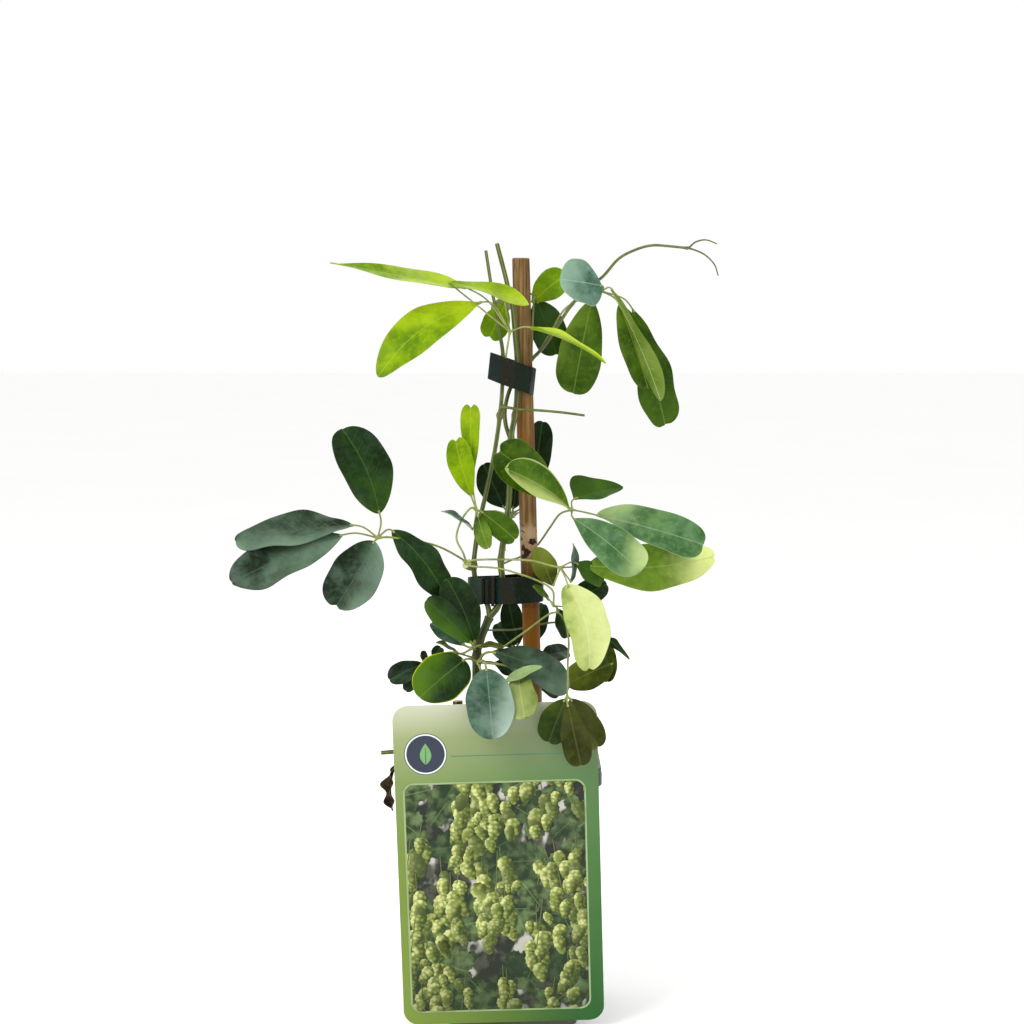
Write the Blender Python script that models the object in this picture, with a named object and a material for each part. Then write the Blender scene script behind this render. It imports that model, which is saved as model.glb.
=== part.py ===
"""A young climbing vine on a bamboo cane, in a square nursery pot with a hanging picture card.

The origin is the centre of the pot's underside. +Z is up, and the card hangs on the -Y side.
Every size below is in millimetres, and MM turns it to metres.
"""

import math

import bmesh
import bpy
from mathutils import Matrix, Vector

MM = 0.001
GAP = 0.3  # clearance between two pieces that touch

# Pot and soil
POT_HEIGHT = 131.0
POT_BASE_HALF = 32.5
POT_WALL_TOP_HALF = 42.6
POT_LIP_HALF = 44.0
POT_LIP_HEIGHT = 9.0
POT_WALL = 1.6
POT_INNER_TOP_HALF = POT_WALL_TOP_HALF - POT_WALL + 0.7  # the wall is thinner at the rim
POT_FLOOR = 2.0
POT_CORNER = 9.0
DRAIN_RADIUS = 3.5
DRAIN_OFFSET = 16.0
SOIL_BELOW_RIM = 8.0

# Cane: the axis leans a little
CANE_TOP = (4.3, 6.0, 379.5)
CANE_FOOT = (15.0, 6.0, 12.0)
CANE_RADIUS = 4.4
CANE_KNOTS = (95.0, 206.0, 318.0)
CANE_KNOT_SWELL = 0.25
CANE_KNOT_REACH = 4.0  # a knot swells the cane this far above and below
CANE_TOP_CHAMFER = (1.0, 0.5)  # height and width of the worn edge at the sawn top

# Card
CARD_WIDTH = 99.0
CARD_HEIGHT = 162.5
CARD_THICK = 0.8
CARD_CORNER = 7.5
CARD_CORNER_STEPS = 3
CARD_CENTRE = (-6.2, -41.1, 83.6)
CARD_LEAN = 5.0  # degrees, the top away from the pot
CARD_TURN = 1.7  # degrees, seen from the front

# Card hanger, folded from one strip: heights and depths of its folds
HANGER_WIDTH = 30.0
HANGER_THICK = 0.8
HANGER_INNER_LEG = 6.5
HANGER_TOP = 151.0
HANGER_BEND = 1.0  # how far each fold is rounded off
HANGER_OFFSET = 2.0  # right of the card's middle, over the middle of the pot's front

# Clips: closed bands cut from an outline seen from above
CLIP_WALL = 0.9
CLIP_HEIGHT = 13.3
UPPER_CLIP_CENTRE = (0.0, 0.0, 322.0)
UPPER_CLIP_TURN = 6.0  # degrees, the whole band
UPPER_CLIP_SLOPE = 14.0  # degrees, its edges beside that
UPPER_CLIP_OUTLINE = (
    (-11.6, -1.0), (-5.4, -8.2), (1.0, -7.8), (9.9, -1.4), (13.0, 5.0), (12.4, 11.2), (8.0, 16.4),
    (0.0, 16.4), (-7.5, 8.5),
)
LOWER_CLIP_CENTRE = (0.0, 0.0, 214.2)
LOWER_CLIP_OUTLINE = (
    (-21.8, -4.6), (-20.8, -8.6), (-15.4, -9.4), (-14.4, -7.4), (-8.2, -7.2), (-6.6, -8.6),
    (1.5, -8.0), (10.0, -2.4), (15.0, 2.2), (15.6, 7.6), (12.0, 12.2), (6.0, 12.0), (-8.0, 2.0),
    (-18.0, -0.6),
)
LATCH_BARS = ((-12.6, 12.0), (-9.6, 15.2))  # place across the latch, and height of each bar
LATCH_BAR_SIZE = (1.7, 2.2)
LATCH_DEPTH = -8.2

# Leaf blades and petioles
BLADE_THICK = 0.7
BLADE_STATIONS = (0.02, 0.2, 0.5, 0.8, 0.985)
BLADE_NOTCH = 0.035
BLADE_BELLY = 1.12  # above 1 the blade is widest past its middle
BLADE_END = 0.975  # the outline is cut here, which leaves a blunt tip
BLADE_FULLNESS = (0.72, 0.42)  # exponents of the outline at the base and at the tip
PETIOLE_RADIUS = 0.75
PETIOLULE_RADIUS = 0.62
PETIOLULE_REACH = 2.2
PETIOLE_START = 2.4  # the petiole's solid starts this far along its route, clear of the stem

# Tubes: how many flat sides each kind has
CANE_SIDES = 10
STEM_SIDES = 6
PETIOLE_SIDES = 5
PETIOLULE_SIDES = 4
DRAIN_SIDES = 8
SOIL_BORE_SIDES = 12

# Stems: route, radius at the start and at the end, and how far the solid starts along the route
STEMS = {
    "stem_base": (
        ((-14, -6, 115), (-16, -8, 139), (-17.5, -9, 160), (-17.5, -9, 181), (-16.5, -9, 188),
         (-12.5, -7.5, 198), (-11.2, -7, 201)),
        2.4, 2.0, 0.0,
    ),
    "stem_left": (
        ((-11.2, -7, 201), (-12, -5.5, 206), (-14.5, -4.6, 212), (-18, -4.6, 219), (-19, -5, 227),
         (-18, -6, 237), (-16, -5, 249.5), (-12.5, -4, 264.5), (-8.5, -3, 284), (-6, -3, 301.5),
         (-5, -3, 313), (-4.5, -3, 330.5), (-6, -2, 341.5), (-8.5, -1, 356), (-10, 0, 363.5),
         (-13, 1, 383)),
        1.4, 0.8, 4.6,
    ),
    "stem_right": (
        ((-11.2, -7, 201), (-7.2, -5.5, 206), (-5.2, -4, 213), (-5, -4, 221), (-5.5, -4, 229.5),
         (-3.5, -3, 244), (-1.5, -2, 259), (-0.5, -1, 289), (1.5, -1, 301.5), (2.5, -1.2, 312.5),
         (2.5, -1.4, 329), (1.5, -1.2, 341.5), (0.5, -1, 353.5), (-1.5, 0, 362.5), (-3.5, 1, 371),
         (-7.5, 2, 386.5)),
        1.7, 1.1, 4.6,
    ),
    "shoot_side": (
        ((-0.5, -1, 289), (-3, 3.5, 296), (-3.5, 6.5, 304), (-1, 10.4, 314), (3.5, 12.4, 320.5),
         (7.5, 12.2, 326), (11, 11.6, 330), (16.5, 11, 336), (23, 10, 346), (30, 9, 356.5),
         (38, 8, 364.5), (45.5, 6, 370.5), (53, 4, 379), (61.5, 2, 383.5), (69.5, 0, 385.5),
         (78, -2, 385), (87, -4, 384)),
        1.1, 0.6, 3.9,
    ),
    "shoot_tip_up": (
        ((87, -4, 384), (90.5, -5, 387), (95.5, -6, 388), (101, -7, 386)),
        0.5, 0.35, 1.0,
    ),
    "shoot_tip_down": (
        ((87, -4, 384), (91, -4, 382.8), (95.5, -4, 380.5), (100, -3, 376), (102, -2, 370.5)),
        0.5, 0.35, 1.5,
    ),
    "twig_stub": (
        ((-5, -3, 305.5), (-2.5, -5, 305.5), (4, -5.5, 304.5), (14, -6, 304), (25, -6, 303),
         (36, -5, 301.5)),
        0.8, 0.6, 2.2,
    ),
    "spur": (
        ((-19, -5, 225), (-21, -7.5, 226.5), (-22.5, -9, 228)),
        1.4, 1.9, 2.7,
    ),
    "old_stub": (
        ((-25, -12, 115), (-26, -14, 138), (-27, -14, 160)),
        2.8, 2.5, 0.0,
    ),
    "runner": (
        ((-16, -8, 139), (-24, -9, 137), (-32, -9.5, 135.5), (-43.5, -10, 134.5),
         (-53, -10, 134), (-65.5, -10, 133)),
        1.1, 0.9, 3.8,
    ),
}

# Each leaf has the route of its petiole, which ends at the hub, and its leaflets:
# base, tip, width, the way the upper face looks, arch as a share of the length, fold in degrees.
LEAVES = {
    "leaf_top_left": (
        ((-3.5, -5.4, 325), (-2.5, -6, 330.5), (-2, -8, 337), (-1, -10, 343)),
        (
            ((-22.5, -14, 364.5), (-88, -26, 376.5), 24, (0.1, -0.27, 0.96), 0.05, 12),
            ((-15, -14, 357.5), (-63, -30, 322), 24, (-0.2, -0.8, 0.55), 0.08, 8),
            ((-24.5, -19, 366), (8.5, -16, 356.5), 20, (0, -0.33, 0.94), 0.06, 10),
            ((9.5, -13, 345), (45.5, -28, 328), 16, (0.35, -0.15, 0.92), 0.06, 16),
            ((-3.5, 4.5, 357), (-11.5, 6.5, 339), 14, (0, -1, 0), 0.04, 6),
        ),
    ),
    "leaf_top_back": (
        ((10, 13.5, 331.5), (10, 14.5, 346), (11, 14.5, 360.5)),
        (
            ((13.5, 16, 363), (31, 24, 373.5), 17, (-0.2, -0.95, 0.2), 0.05, 8),
            ((13, 16.5, 358), (22.5, 23, 332), 19, (0.1, -1, 0.1), 0.06, 10),
            ((8, 17, 362), (-8, 34, 350), 16, (-0.2, 0.3, 0.95), 0.1, 10),
        ),
    ),
    "leaf_top_right": (
        ((12.5, 14.5, 331), (19.5, 13.8, 342.5), (26, 13, 353.5), (35, 12, 359.5), (44.5, 5, 363)),
        (
            ((43, 3, 365), (24.5, -4, 368.5), 25, (0, -0.9, 0.35), 0.05, 14),
            ((40, 10, 358.5), (30.5, 18, 312), 23, (-0.2, -0.95, 0.1), 0.05, 8),
            ((53.5, 6, 356.5), (76.5, 14, 307.5), 19, (0.25, -0.95, 0.2), 0.08, 10),
            ((60, 12, 355.5), (79.5, 24, 295.5), 21, (0.2, -0.95, 0.2), 0.06, 8),
            ((50, 1, 364), (74.5, 3, 308), 16, (0.85, 0.42, 0.3), 0.06, 10),
        ),
    ),
    "leaf_left": (
        ((-22.5, -9, 228), (-26.5, -10, 231.5), (-39, -14, 238), (-58.5, -19, 242), (-66, -20, 242)),
        (
            ((-65, -20, 254), (-84.5, -16, 295), 24, (0.1, -1, 0.1), 0.04, 6),
            ((-78, -22, 248.5), (-135, -30, 242.5), 26, (0, -0.5, 0.86), 0.05, 8),
            ((-83, -26, 244), (-135, -44, 223.5), 25, (0, -0.68, 0.73), 0.06, 8),
            ((-67.5, -22, 240.5), (-87.5, -36, 210), 27, (-0.1, -0.95, 0.3), 0.06, 8),
            ((-59, -18, 245.5), (-32.5, -19, 213), 22, (-0.45, -0.6, 0.65), 0.06, 10),
        ),
    ),
    "leaf_centre_left": (
        ((-22.5, -9, 228), (-24.2, -11.2, 233.5), (-27.5, -12, 241), (-25, -13, 250),
         (-20.5, -13, 256), (-17.5, -12, 255)),
        (
            ((-20, -12, 261.5), (-26, -16, 290.5), 15, (0.5, -0.65, 0.3), 0.05, 10),
            ((-19.5, -11, 268.5), (-21, -9, 306.5), 14, (-0.5, -0.7, 0.3), 0.05, 8),
            ((-15.5, -12, 254.5), (2, -16, 240.5), 13, (0.2, -0.95, 0.2), 0.06, 8),
            ((-17, -13, 253), (-11.5, -20, 236.5), 11, (-0.4, -0.8, 0.3), 0.06, 8),
            ((-19, -13, 245.5), (-34.5, -22, 255.5), 14, (0.2, -0.25, 0.9), 0.06, 10),
        ),
    ),
    "leaf_centre_back": (
        ((-3.5, -3, 236), (-1.5, 8, 242), (0, 14, 251)),
        (
            ((-4, 12, 254), (-14.5, 4, 276), 16, (0, -1, 0.2), 0.05, 8),
            ((0.5, 15, 253), (2.5, 17, 268), 10, (0, -1, 0.1), 0.05, 8),
            ((10, 16, 259.5), (15.5, 24, 297.5), 14, (0, -1, 0.1), 0.05, 8),
            ((1, 20, 249), (-7.5, 52, 242), 18, (0, 0.1, 1), 0.1, 10),
        ),
    ),
    "leaf_right_upper": (
        ((-5.3, -4, 227), (0, 4, 228.5), (5, 13, 229.5), (12.5, 14, 234.5), (19, 6, 244.5),
         (24, 0, 252), (30, -4, 254.5)),
        (
            ((21.5, -8, 261), (-6, -26, 287.5), 23, (0, -0.9, 0.4), 0.1, 10),
            ((27, -8, 256), (-2, -32, 276.5), 18, (0.2, -0.75, 0.6), 0.1, 14),
            ((32.5, 4, 257.5), (55.5, 18, 261), 18, (0, -0.65, 0.75), 0.06, 8),
            ((41.5, -6, 251.5), (92.5, -16, 237.5), 25, (0, -0.8, 0.55), 0.08, 12),
            ((30.5, -8, 250.5), (62.5, -26, 226), 22, (-0.1, -0.8, 0.6), 0.12, 10),
        ),
    ),
    "leaf_right_middle": (
        ((-22.5, -9, 228), (-19, -11, 230), (-6, -12.5, 230.5), (9, -13, 230), (19, -13, 227.5),
         (24, -13, 226.5)),
        (
            ((27.5, -16, 218.5), (35.5, -30, 178), 22, (0.1, -1, 0.15), 0.06, 8),
            ((20.5, -10, 217), (12, -4, 234.5), 12, (0, -1, 0.2), 0.04, 8),
            ((31.5, -10, 228.5), (45.5, -2, 217.5), 10, (0, -0.8, 0.5), 0.05, 8),
            ((39, -6, 228), (101, 8, 232.5), 23, (0, -0.9, 0.4), 0.06, 8),
            ((29.5, -12, 219), (30.5, -8, 238.5), 10, (1, -0.2, 0.1), 0.05, 8),
        ),
    ),
    "leaf_right_inner": (
        ((-22.5, -9, 228), (-19.5, -12, 227), (-8, -14.5, 226.5), (1, -16, 224.5),
         (12.5, -17, 220.5), (20, -16, 215.5), (20.5, -14, 207.5)),
        (
            ((18.5, -14, 210.5), (10, -16, 218), 7, (0, -0.4, 0.9), 0.05, 8),
            ((29, -8, 207.5), (48, 4, 216.5), 14, (0, -0.9, 0.4), 0.05, 8),
            ((22.5, -12, 206), (28, -8, 190.5), 8, (0.3, -0.9, 0.2), 0.05, 8),
        ),
    ),
    "leaf_right_low": (
        ((-12.5, -7.5, 196), (-6, 4, 193), (1, 12, 192), (9, 16, 193), (24.5, 10, 196), (43.5, 4, 192)),
        (
            ((47.5, 3, 189.5), (59, -2, 179), 6, (0.2, -0.8, 0.5), 0.05, 8),
            ((46.5, 3, 188.5), (47, -4, 169), 10, (0, -1, 0.1), 0.05, 8),
            ((50, -2, 176), (27.5, -16, 169.5), 15, (0, -0.9, 0.4), 0.05, 8),
        ),
    ),
    "leaf_front_right": (
        ((-15, -10.5, 182.5), (-6, -14, 186), (6.5, -16.5, 195), (19.5, -18.5, 204.5),
         (25.5, -16, 201.5), (28, -17, 191), (27.5, -23, 181), (27, -42, 173), (26.5, -53, 168.5)),
        (
            ((25.5, -54, 167.5), (17, -58, 147), 17, (-0.15, -0.95, 0.25), 0.06, 8),
            ((26.5, -55, 166), (31.5, -60, 137.5), 14.5, (0, -0.95, 0.25), 0.06, 8),
            ((28, -54, 167.5), (42, -57, 144.5), 17, (0.1, -0.95, 0.25), 0.06, 10),
        ),
    ),
    "leaf_low_left": (
        ((-17.5, -10.3, 185.3), (-18.7, -12, 186), (-19.5, -13.5, 186.5)),
        (
            ((-18.5, -14, 189), (-31.5, -22, 221.5), 17, (0.1, -0.95, 0.3), 0.05, 6),
            ((-20, -16, 189), (-41.5, -30, 212.5), 14, (-0.2, -0.75, 0.6), 0.06, 8),
            ((-23.5, -9, 187), (-41, -2, 197.5), 10, (0, -0.8, 0.6), 0.05, 8),
            ((-26.5, -16, 184), (-37.5, -26, 191), 8, (0, -0.4, 0.9), 0.06, 8),
            ((-16.5, -14, 187.5), (-4.5, -22, 187.5), 9, (0, -0.25, 0.95), 0.06, 10),
        ),
    ),
    "leaf_low_front": (
        ((-17, -10.5, 178.5), (-17, -13, 179), (-17, -15.5, 179.5)),
        (
            ((-24, -20, 181), (-43.5, -44, 170.5), 23, (-0.1, -0.75, 0.65), 0.06, 8),
            ((-12.5, -36, 179.5), (-8.5, -61, 150.5), 24, (0, -0.8, 0.6), 0.08, 10),
            ((-7.5, -22, 184.5), (27.5, -30, 168), 20, (0.15, -0.7, 0.7), 0.08, 10),
            ((-9, -14, 179), (3.5, -8, 173), 9, (0, -0.8, 0.5), 0.05, 8),
            ((12, -34, 177), (2, -60, 158), 15, (-0.1, -0.8, 0.6), 0.14, 10),
        ),
    ),
    "leaf_low_far_left": (
        ((-17.5, -9, 181), (-20.5, -11, 181.6), (-31, -12, 184), (-41, -9, 179.5)),
        (
            ((-39.5, -8, 180.5), (-35.5, -2, 185.5), 5, (0, -0.9, 0.4), 0.04, 6),
            ((-42, -9, 180), (-45.5, -16, 183), 4.5, (0, -0.9, 0.4), 0.04, 6),
            ((-44, -10, 178), (-60.5, -16, 170.5), 11, (-0.1, -0.8, 0.6), 0.06, 8),
            ((-44, -9, 176), (-52.5, -14, 165), 6, (-0.1, -0.8, 0.6), 0.06, 8),
        ),
    ),
    "leaf_low_back": (
        ((-8, 4, 121.5), (-6, 10, 134), (0, 17, 156), (4, 20, 177.5)),
        (
            ((14.5, 22, 176), (29.5, 33, 178), 10, (0, -0.8, 0.6), 0.06, 8),
            ((1, 20, 181.5), (-8, 26, 193.5), 10, (0, -0.9, 0.3), 0.05, 8),
            ((3, 20, 182.5), (-2, 20, 206), 11, (0, -1, 0.1), 0.05, 8),
            ((9, 21, 182), (16, 25, 204), 10, (0, -1, 0.1), 0.05, 8),
            ((11, 21, 170), (24.5, 27, 155), 8, (0, -0.9, 0.3), 0.05, 8),
        ),
    ),
}

# The dead leaf is a small crumpled blade that hangs from the runner
DRY_LEAF = ((-59, -10, 131), (-61.5, -9, 103), 9, (-0.6, -0.8, 0.1), 0.12, 35)


def clear_scene():
    for obj in list(bpy.data.objects):
        bpy.data.objects.remove(obj, do_unlink=True)


def material(name, colour, roughness):
    made = bpy.data.materials.new(name)
    made.use_nodes = True
    shader = made.node_tree.nodes["Principled BSDF"]
    shader.inputs["Base Color"].default_value = (*colour, 1)
    shader.inputs["Roughness"].default_value = roughness
    shader.inputs["Metallic"].default_value = 0
    return made


def add_piece(name, mesh, finish=None):
    piece = bpy.data.objects.new(name, mesh)
    bpy.context.scene.collection.objects.link(piece)
    if finish:
        mesh.materials.append(finish)
    return piece


def as_helper(piece):
    """A guide or cutter: the build leaves it out."""
    piece.hide_render = True
    piece.display_type = "WIRE"
    return piece


def mesh_of(name, verts, faces):
    mesh = bpy.data.meshes.new(name)
    mesh.from_pydata([Vector(v) * MM for v in verts], [], faces)
    work = bmesh.new()
    work.from_mesh(mesh)
    bmesh.ops.recalc_face_normals(work, faces=work.faces)
    work.to_mesh(mesh)
    work.free()
    mesh.shade_smooth()
    mesh.set_sharp_from_angle(angle=math.radians(40))
    return mesh


def combine(piece, helpers, operation):
    """Joins helpers to a piece, or cuts them from it, with one Boolean."""
    group = bpy.data.collections.new(piece.name + "_" + operation.lower())
    for helper in helpers:
        group.objects.link(helper)
    change = piece.modifiers.new(operation.title(), "BOOLEAN")
    change.operation = operation
    change.solver = "EXACT"
    change.operand_type = "COLLECTION"
    change.collection = group


def smooth_route(points, steps):
    """Points on a Catmull-Rom curve through the given ones."""
    points = [Vector(p) for p in points]
    ends = [2 * points[0] - points[1], *points, 2 * points[-1] - points[-2]]
    route = []
    for a, b, c, d in zip(ends, ends[1:], ends[2:], ends[3:]):
        for i in range(steps):
            t = i / steps
            route.append(
                0.5 * (2 * b + (c - a) * t + (2 * a - 5 * b + 4 * c - d) * t**2
                       + (3 * b - a - 3 * c + d) * t**3)
            )
    return [*route, points[-1]]


def trimmed(route, start):
    """The route without its first stretch of that length."""
    while start > 0 and len(route) > 2:
        step = (route[1] - route[0]).length
        if step > start:
            return [route[0].lerp(route[1], start / step), *route[1:]]
        start -= step
        route = route[1:]
    return route


def ring_frames(route):
    """For each point, two directions across the route that don't twist along it."""
    across = None
    frames = []
    for i, point in enumerate(route):
        along = (route[min(i + 1, len(route) - 1)] - route[max(i - 1, 0)]).normalized()
        if across is None:
            across = along.orthogonal().normalized()
        across = (across - along * across.dot(along)).normalized()
        frames.append((point, across, along.cross(across)))
    return frames


def tube_mesh(name, route, radii, sides):
    """A closed tube along a route, with a radius for each point."""
    verts = []
    for (point, u, v), radius in zip(ring_frames(route), radii):
        for k in range(sides):
            turn = 2 * math.pi * k / sides
            verts.append(point + radius * (u * math.cos(turn) + v * math.sin(turn)))
    faces = []
    for i in range(len(route) - 1):
        for k in range(sides):
            a, b = i * sides + k, i * sides + (k + 1) % sides
            faces.append((a, b, b + sides, a + sides))
    faces.append(tuple(range(sides)))
    faces.append(tuple(range(len(verts) - sides, len(verts))))
    return mesh_of(name, verts, faces)


def tapered(route, start, end):
    count = len(route) - 1
    return [start + (end - start) * i / count for i in range(count + 1)]


QUARTERS = ((1, 1), (-1, 1), (-1, -1), (1, -1))


def rounded_square(half, corner, height, steps=2):
    """Points round a square with round corners, at one height."""
    points = []
    for quarter, (sx, sy) in enumerate(QUARTERS):
        for i in range(steps + 1):
            turn = math.radians(90 * quarter + 90 * i / steps)
            points.append((
                sx * (half - corner) + corner * math.cos(turn),
                sy * (half - corner) + corner * math.sin(turn),
                height,
            ))
    return points


def stacked_rings(name, rings):
    """A closed solid through rings of equally many points, capped at both ends."""
    size = len(rings[0])
    verts = [p for ring in rings for p in ring]
    faces = []
    for i in range(len(rings) - 1):
        for k in range(size):
            a, b = i * size + k, i * size + (k + 1) % size
            faces.append((a, b, b + size, a + size))
    faces.append(tuple(range(size)))
    faces.append(tuple(range(len(verts) - size, len(verts))))
    return mesh_of(name, verts, faces)


def pot_half(height):
    """Half the pot's outer width at a height, below the lip."""
    return POT_BASE_HALF + (POT_WALL_TOP_HALF - POT_BASE_HALF) * height / (POT_HEIGHT - POT_LIP_HEIGHT)


def make_pot(finish):
    lip_foot = POT_HEIGHT - POT_LIP_HEIGHT
    rings = [
        rounded_square(POT_BASE_HALF, POT_CORNER, 0),
        rounded_square(POT_WALL_TOP_HALF, POT_CORNER, lip_foot),
        rounded_square(POT_LIP_HALF, POT_CORNER, lip_foot),
        rounded_square(POT_LIP_HALF, POT_CORNER, POT_HEIGHT),
        rounded_square(POT_INNER_TOP_HALF, POT_CORNER - POT_WALL, POT_HEIGHT),
        rounded_square(pot_half(POT_FLOOR) - POT_WALL, POT_CORNER - POT_WALL, POT_FLOOR),
    ]
    pot = add_piece("nursery_pot", stacked_rings("nursery_pot", rings), finish)
    drains = []
    for x in (-1, 1):
        for y in (-1, 1):
            foot = Vector((x * DRAIN_OFFSET, y * DRAIN_OFFSET, -POT_FLOOR))
            head = foot + Vector((0, 0, POT_FLOOR * 2.5))
            mesh = tube_mesh("drain", [foot, head], [DRAIN_RADIUS] * 2, DRAIN_SIDES)
            drains.append(as_helper(add_piece("drain", mesh)))
    combine(pot, drains, "DIFFERENCE")


def make_soil(finish, buried):
    """The soil fills the pot up to its level, with a bore for each piece that stands in it."""
    floor_half = pot_half(POT_FLOOR) - POT_WALL
    low, high = POT_FLOOR + GAP, POT_HEIGHT - SOIL_BELOW_RIM

    def half_at(height):
        share = (height - POT_FLOOR) / (POT_HEIGHT - POT_FLOOR)
        return floor_half + (POT_INNER_TOP_HALF - floor_half) * share - GAP

    rings = [rounded_square(half_at(h), POT_CORNER - POT_WALL, h) for h in (low, high)]
    soil = add_piece("soil", stacked_rings("soil", rings), finish)
    bores = []
    for foot, head, radius in buried:
        foot, head = Vector(foot), Vector(head)
        route = [foot + (foot - head).normalized() * GAP * 2, head]
        mesh = tube_mesh("bore", route, [radius + GAP] * len(route), SOIL_BORE_SIDES)
        bores.append(as_helper(add_piece("bore", mesh)))
    combine(soil, bores, "DIFFERENCE")


def cane_route():
    """Heights along the cane where its radius changes: plain between knots, fuller at each."""
    foot, top = Vector(CANE_FOOT), Vector(CANE_TOP)
    stations = [(foot.z, 0.0)]
    for knot in CANE_KNOTS:
        stations += [(knot - CANE_KNOT_REACH, 0.0), (knot, CANE_KNOT_SWELL), (knot + CANE_KNOT_REACH, 0.0)]
    chamfer_height, chamfer_width = CANE_TOP_CHAMFER
    stations += [(top.z - chamfer_height, 0.0), (top.z, -chamfer_width)]
    route = [foot.lerp(top, (z - foot.z) / (top.z - foot.z)) for z, _ in stations]
    return route, [CANE_RADIUS + swell for _, swell in stations]


def make_cane(finish):
    route, radii = cane_route()
    add_piece("cane", tube_mesh("cane", route, radii, CANE_SIDES), finish)


def card_matrix():
    lean = Matrix.Rotation(math.radians(CARD_LEAN), 4, "X")
    turn = Matrix.Rotation(math.radians(CARD_TURN), 4, "Y")
    return Matrix.Translation(Vector(CARD_CENTRE) * MM) @ lean @ turn.inverted()


def make_card(finish):
    corners = []
    for quarter, (sx, sz) in enumerate(QUARTERS):
        for i in range(CARD_CORNER_STEPS + 1):
            turn = math.radians(90 * quarter + 90 * i / CARD_CORNER_STEPS)
            corners.append((
                sx * (CARD_WIDTH / 2 - CARD_CORNER) + CARD_CORNER * math.cos(turn),
                sz * (CARD_HEIGHT / 2 - CARD_CORNER) + CARD_CORNER * math.sin(turn),
            ))
    rings = [[(x, y, z) for x, z in corners] for y in (-CARD_THICK / 2, CARD_THICK / 2)]
    card = add_piece("picture_card", stacked_rings("picture_card", rings), finish)
    card.matrix_world = card_matrix()


def make_hanger(finish):
    """One strip: down the back of the card, over the rim and down the inside of the pot."""
    lean = math.tan(math.radians(CARD_LEAN))
    card_back = CARD_THICK / 2 / math.cos(math.radians(CARD_LEAN)) + GAP

    def behind_card(z):
        return CARD_CENTRE[1] - (z - CARD_CENTRE[2]) * lean + card_back + HANGER_THICK / 2

    over_rim = POT_HEIGHT + GAP + HANGER_THICK / 2
    inside = GAP + HANGER_THICK / 2 - POT_INNER_TOP_HALF
    taper = (POT_WALL_TOP_HALF - POT_BASE_HALF) / (POT_HEIGHT - POT_LIP_HEIGHT)
    profile = [
        (behind_card(HANGER_TOP), HANGER_TOP),
        (behind_card(over_rim + HANGER_BEND * 1.5), over_rim + HANGER_BEND * 1.5),
        (behind_card(over_rim) + HANGER_BEND, over_rim),
        (inside - HANGER_BEND / 5, over_rim),
        (inside + HANGER_BEND * 0.4, over_rim - HANGER_BEND),
        (inside + HANGER_BEND * 0.4 + HANGER_INNER_LEG * taper, POT_HEIGHT - HANGER_INNER_LEG),
    ]
    centre = CARD_CENTRE[0] + HANGER_OFFSET
    verts = [(centre + side * HANGER_WIDTH / 2, y, z) for side in (-1, 1) for y, z in profile]
    count = len(profile)
    faces = [(i, i + 1, count + i + 1, count + i) for i in range(count - 1)]
    hanger = add_piece("card_hanger", mesh_of("card_hanger", verts, faces), finish)
    thicken = hanger.modifiers.new("Solidify", "SOLIDIFY")
    thicken.thickness = HANGER_THICK * MM
    thicken.offset = 0


def rounded_outline(points, share=0.3, steps=1):
    """The outline with each corner cut by a short curve."""
    made = []
    count = len(points)
    for i, point in enumerate(points):
        here = Vector(point)
        before, after = Vector(points[i - 1]), Vector(points[(i + 1) % count])
        start, end = here.lerp(before, share), here.lerp(after, share)
        for k in range(steps + 1):
            t = k / steps
            made.append((1 - t) ** 2 * start + 2 * t * (1 - t) * here + t**2 * end)
    return made


def band_mesh(name, outline, slope=0):
    """A closed band of even wall round an outline, standing on its edge. Its edges may fall to +X."""
    points = rounded_outline(outline)
    count = len(points)
    inner, outer = [], []
    for i, point in enumerate(points):
        along = (points[(i + 1) % count] - points[i - 1]).normalized()
        out = Vector((along.y, -along.x))
        outer.append(point + out * CLIP_WALL / 2)
        inner.append(point - out * CLIP_WALL / 2)
    half = CLIP_HEIGHT / 2
    rings = [(outer, -half), (outer, half), (inner, half), (inner, -half)]
    fall = math.tan(math.radians(slope))
    verts = [(p.x, p.y, z - p.x * fall) for ring, z in rings for p in ring]
    faces = []
    for r in range(4):
        for i in range(count):
            a, b = r * count + i, r * count + (i + 1) % count
            c, d = ((r + 1) % 4) * count + (i + 1) % count, ((r + 1) % 4) * count + i
            faces.append((a, b, c, d))
    return mesh_of(name, verts, faces)


def box_mesh(name, centre, size):
    """A box from its centre and its three sizes."""
    middle, half = Vector(centre), Vector(size) / 2
    rings = [[middle + half * Vector((x, y, z)) for x, y in QUARTERS] for z in (-1, 1)]
    return stacked_rings(name, rings)


def make_clips(finish):
    upper = add_piece("clip_upper", band_mesh("clip_upper", UPPER_CLIP_OUTLINE, UPPER_CLIP_SLOPE), finish)
    upper.location = Vector(UPPER_CLIP_CENTRE) * MM
    upper.rotation_euler.y = math.radians(UPPER_CLIP_TURN)
    lower = add_piece("clip_lower", band_mesh("clip_lower", LOWER_CLIP_OUTLINE), finish)
    lower.location = Vector(LOWER_CLIP_CENTRE) * MM
    bars = []
    for across, height in LATCH_BARS:
        size = (LATCH_BAR_SIZE[0], LATCH_BAR_SIZE[1], height)
        bar = add_piece("latch_bar", box_mesh("latch_bar", (across, LATCH_DEPTH, 0), size))
        bar.location = Vector(LOWER_CLIP_CENTRE) * MM
        bars.append(as_helper(bar))
    combine(lower, bars, "UNION")


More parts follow.
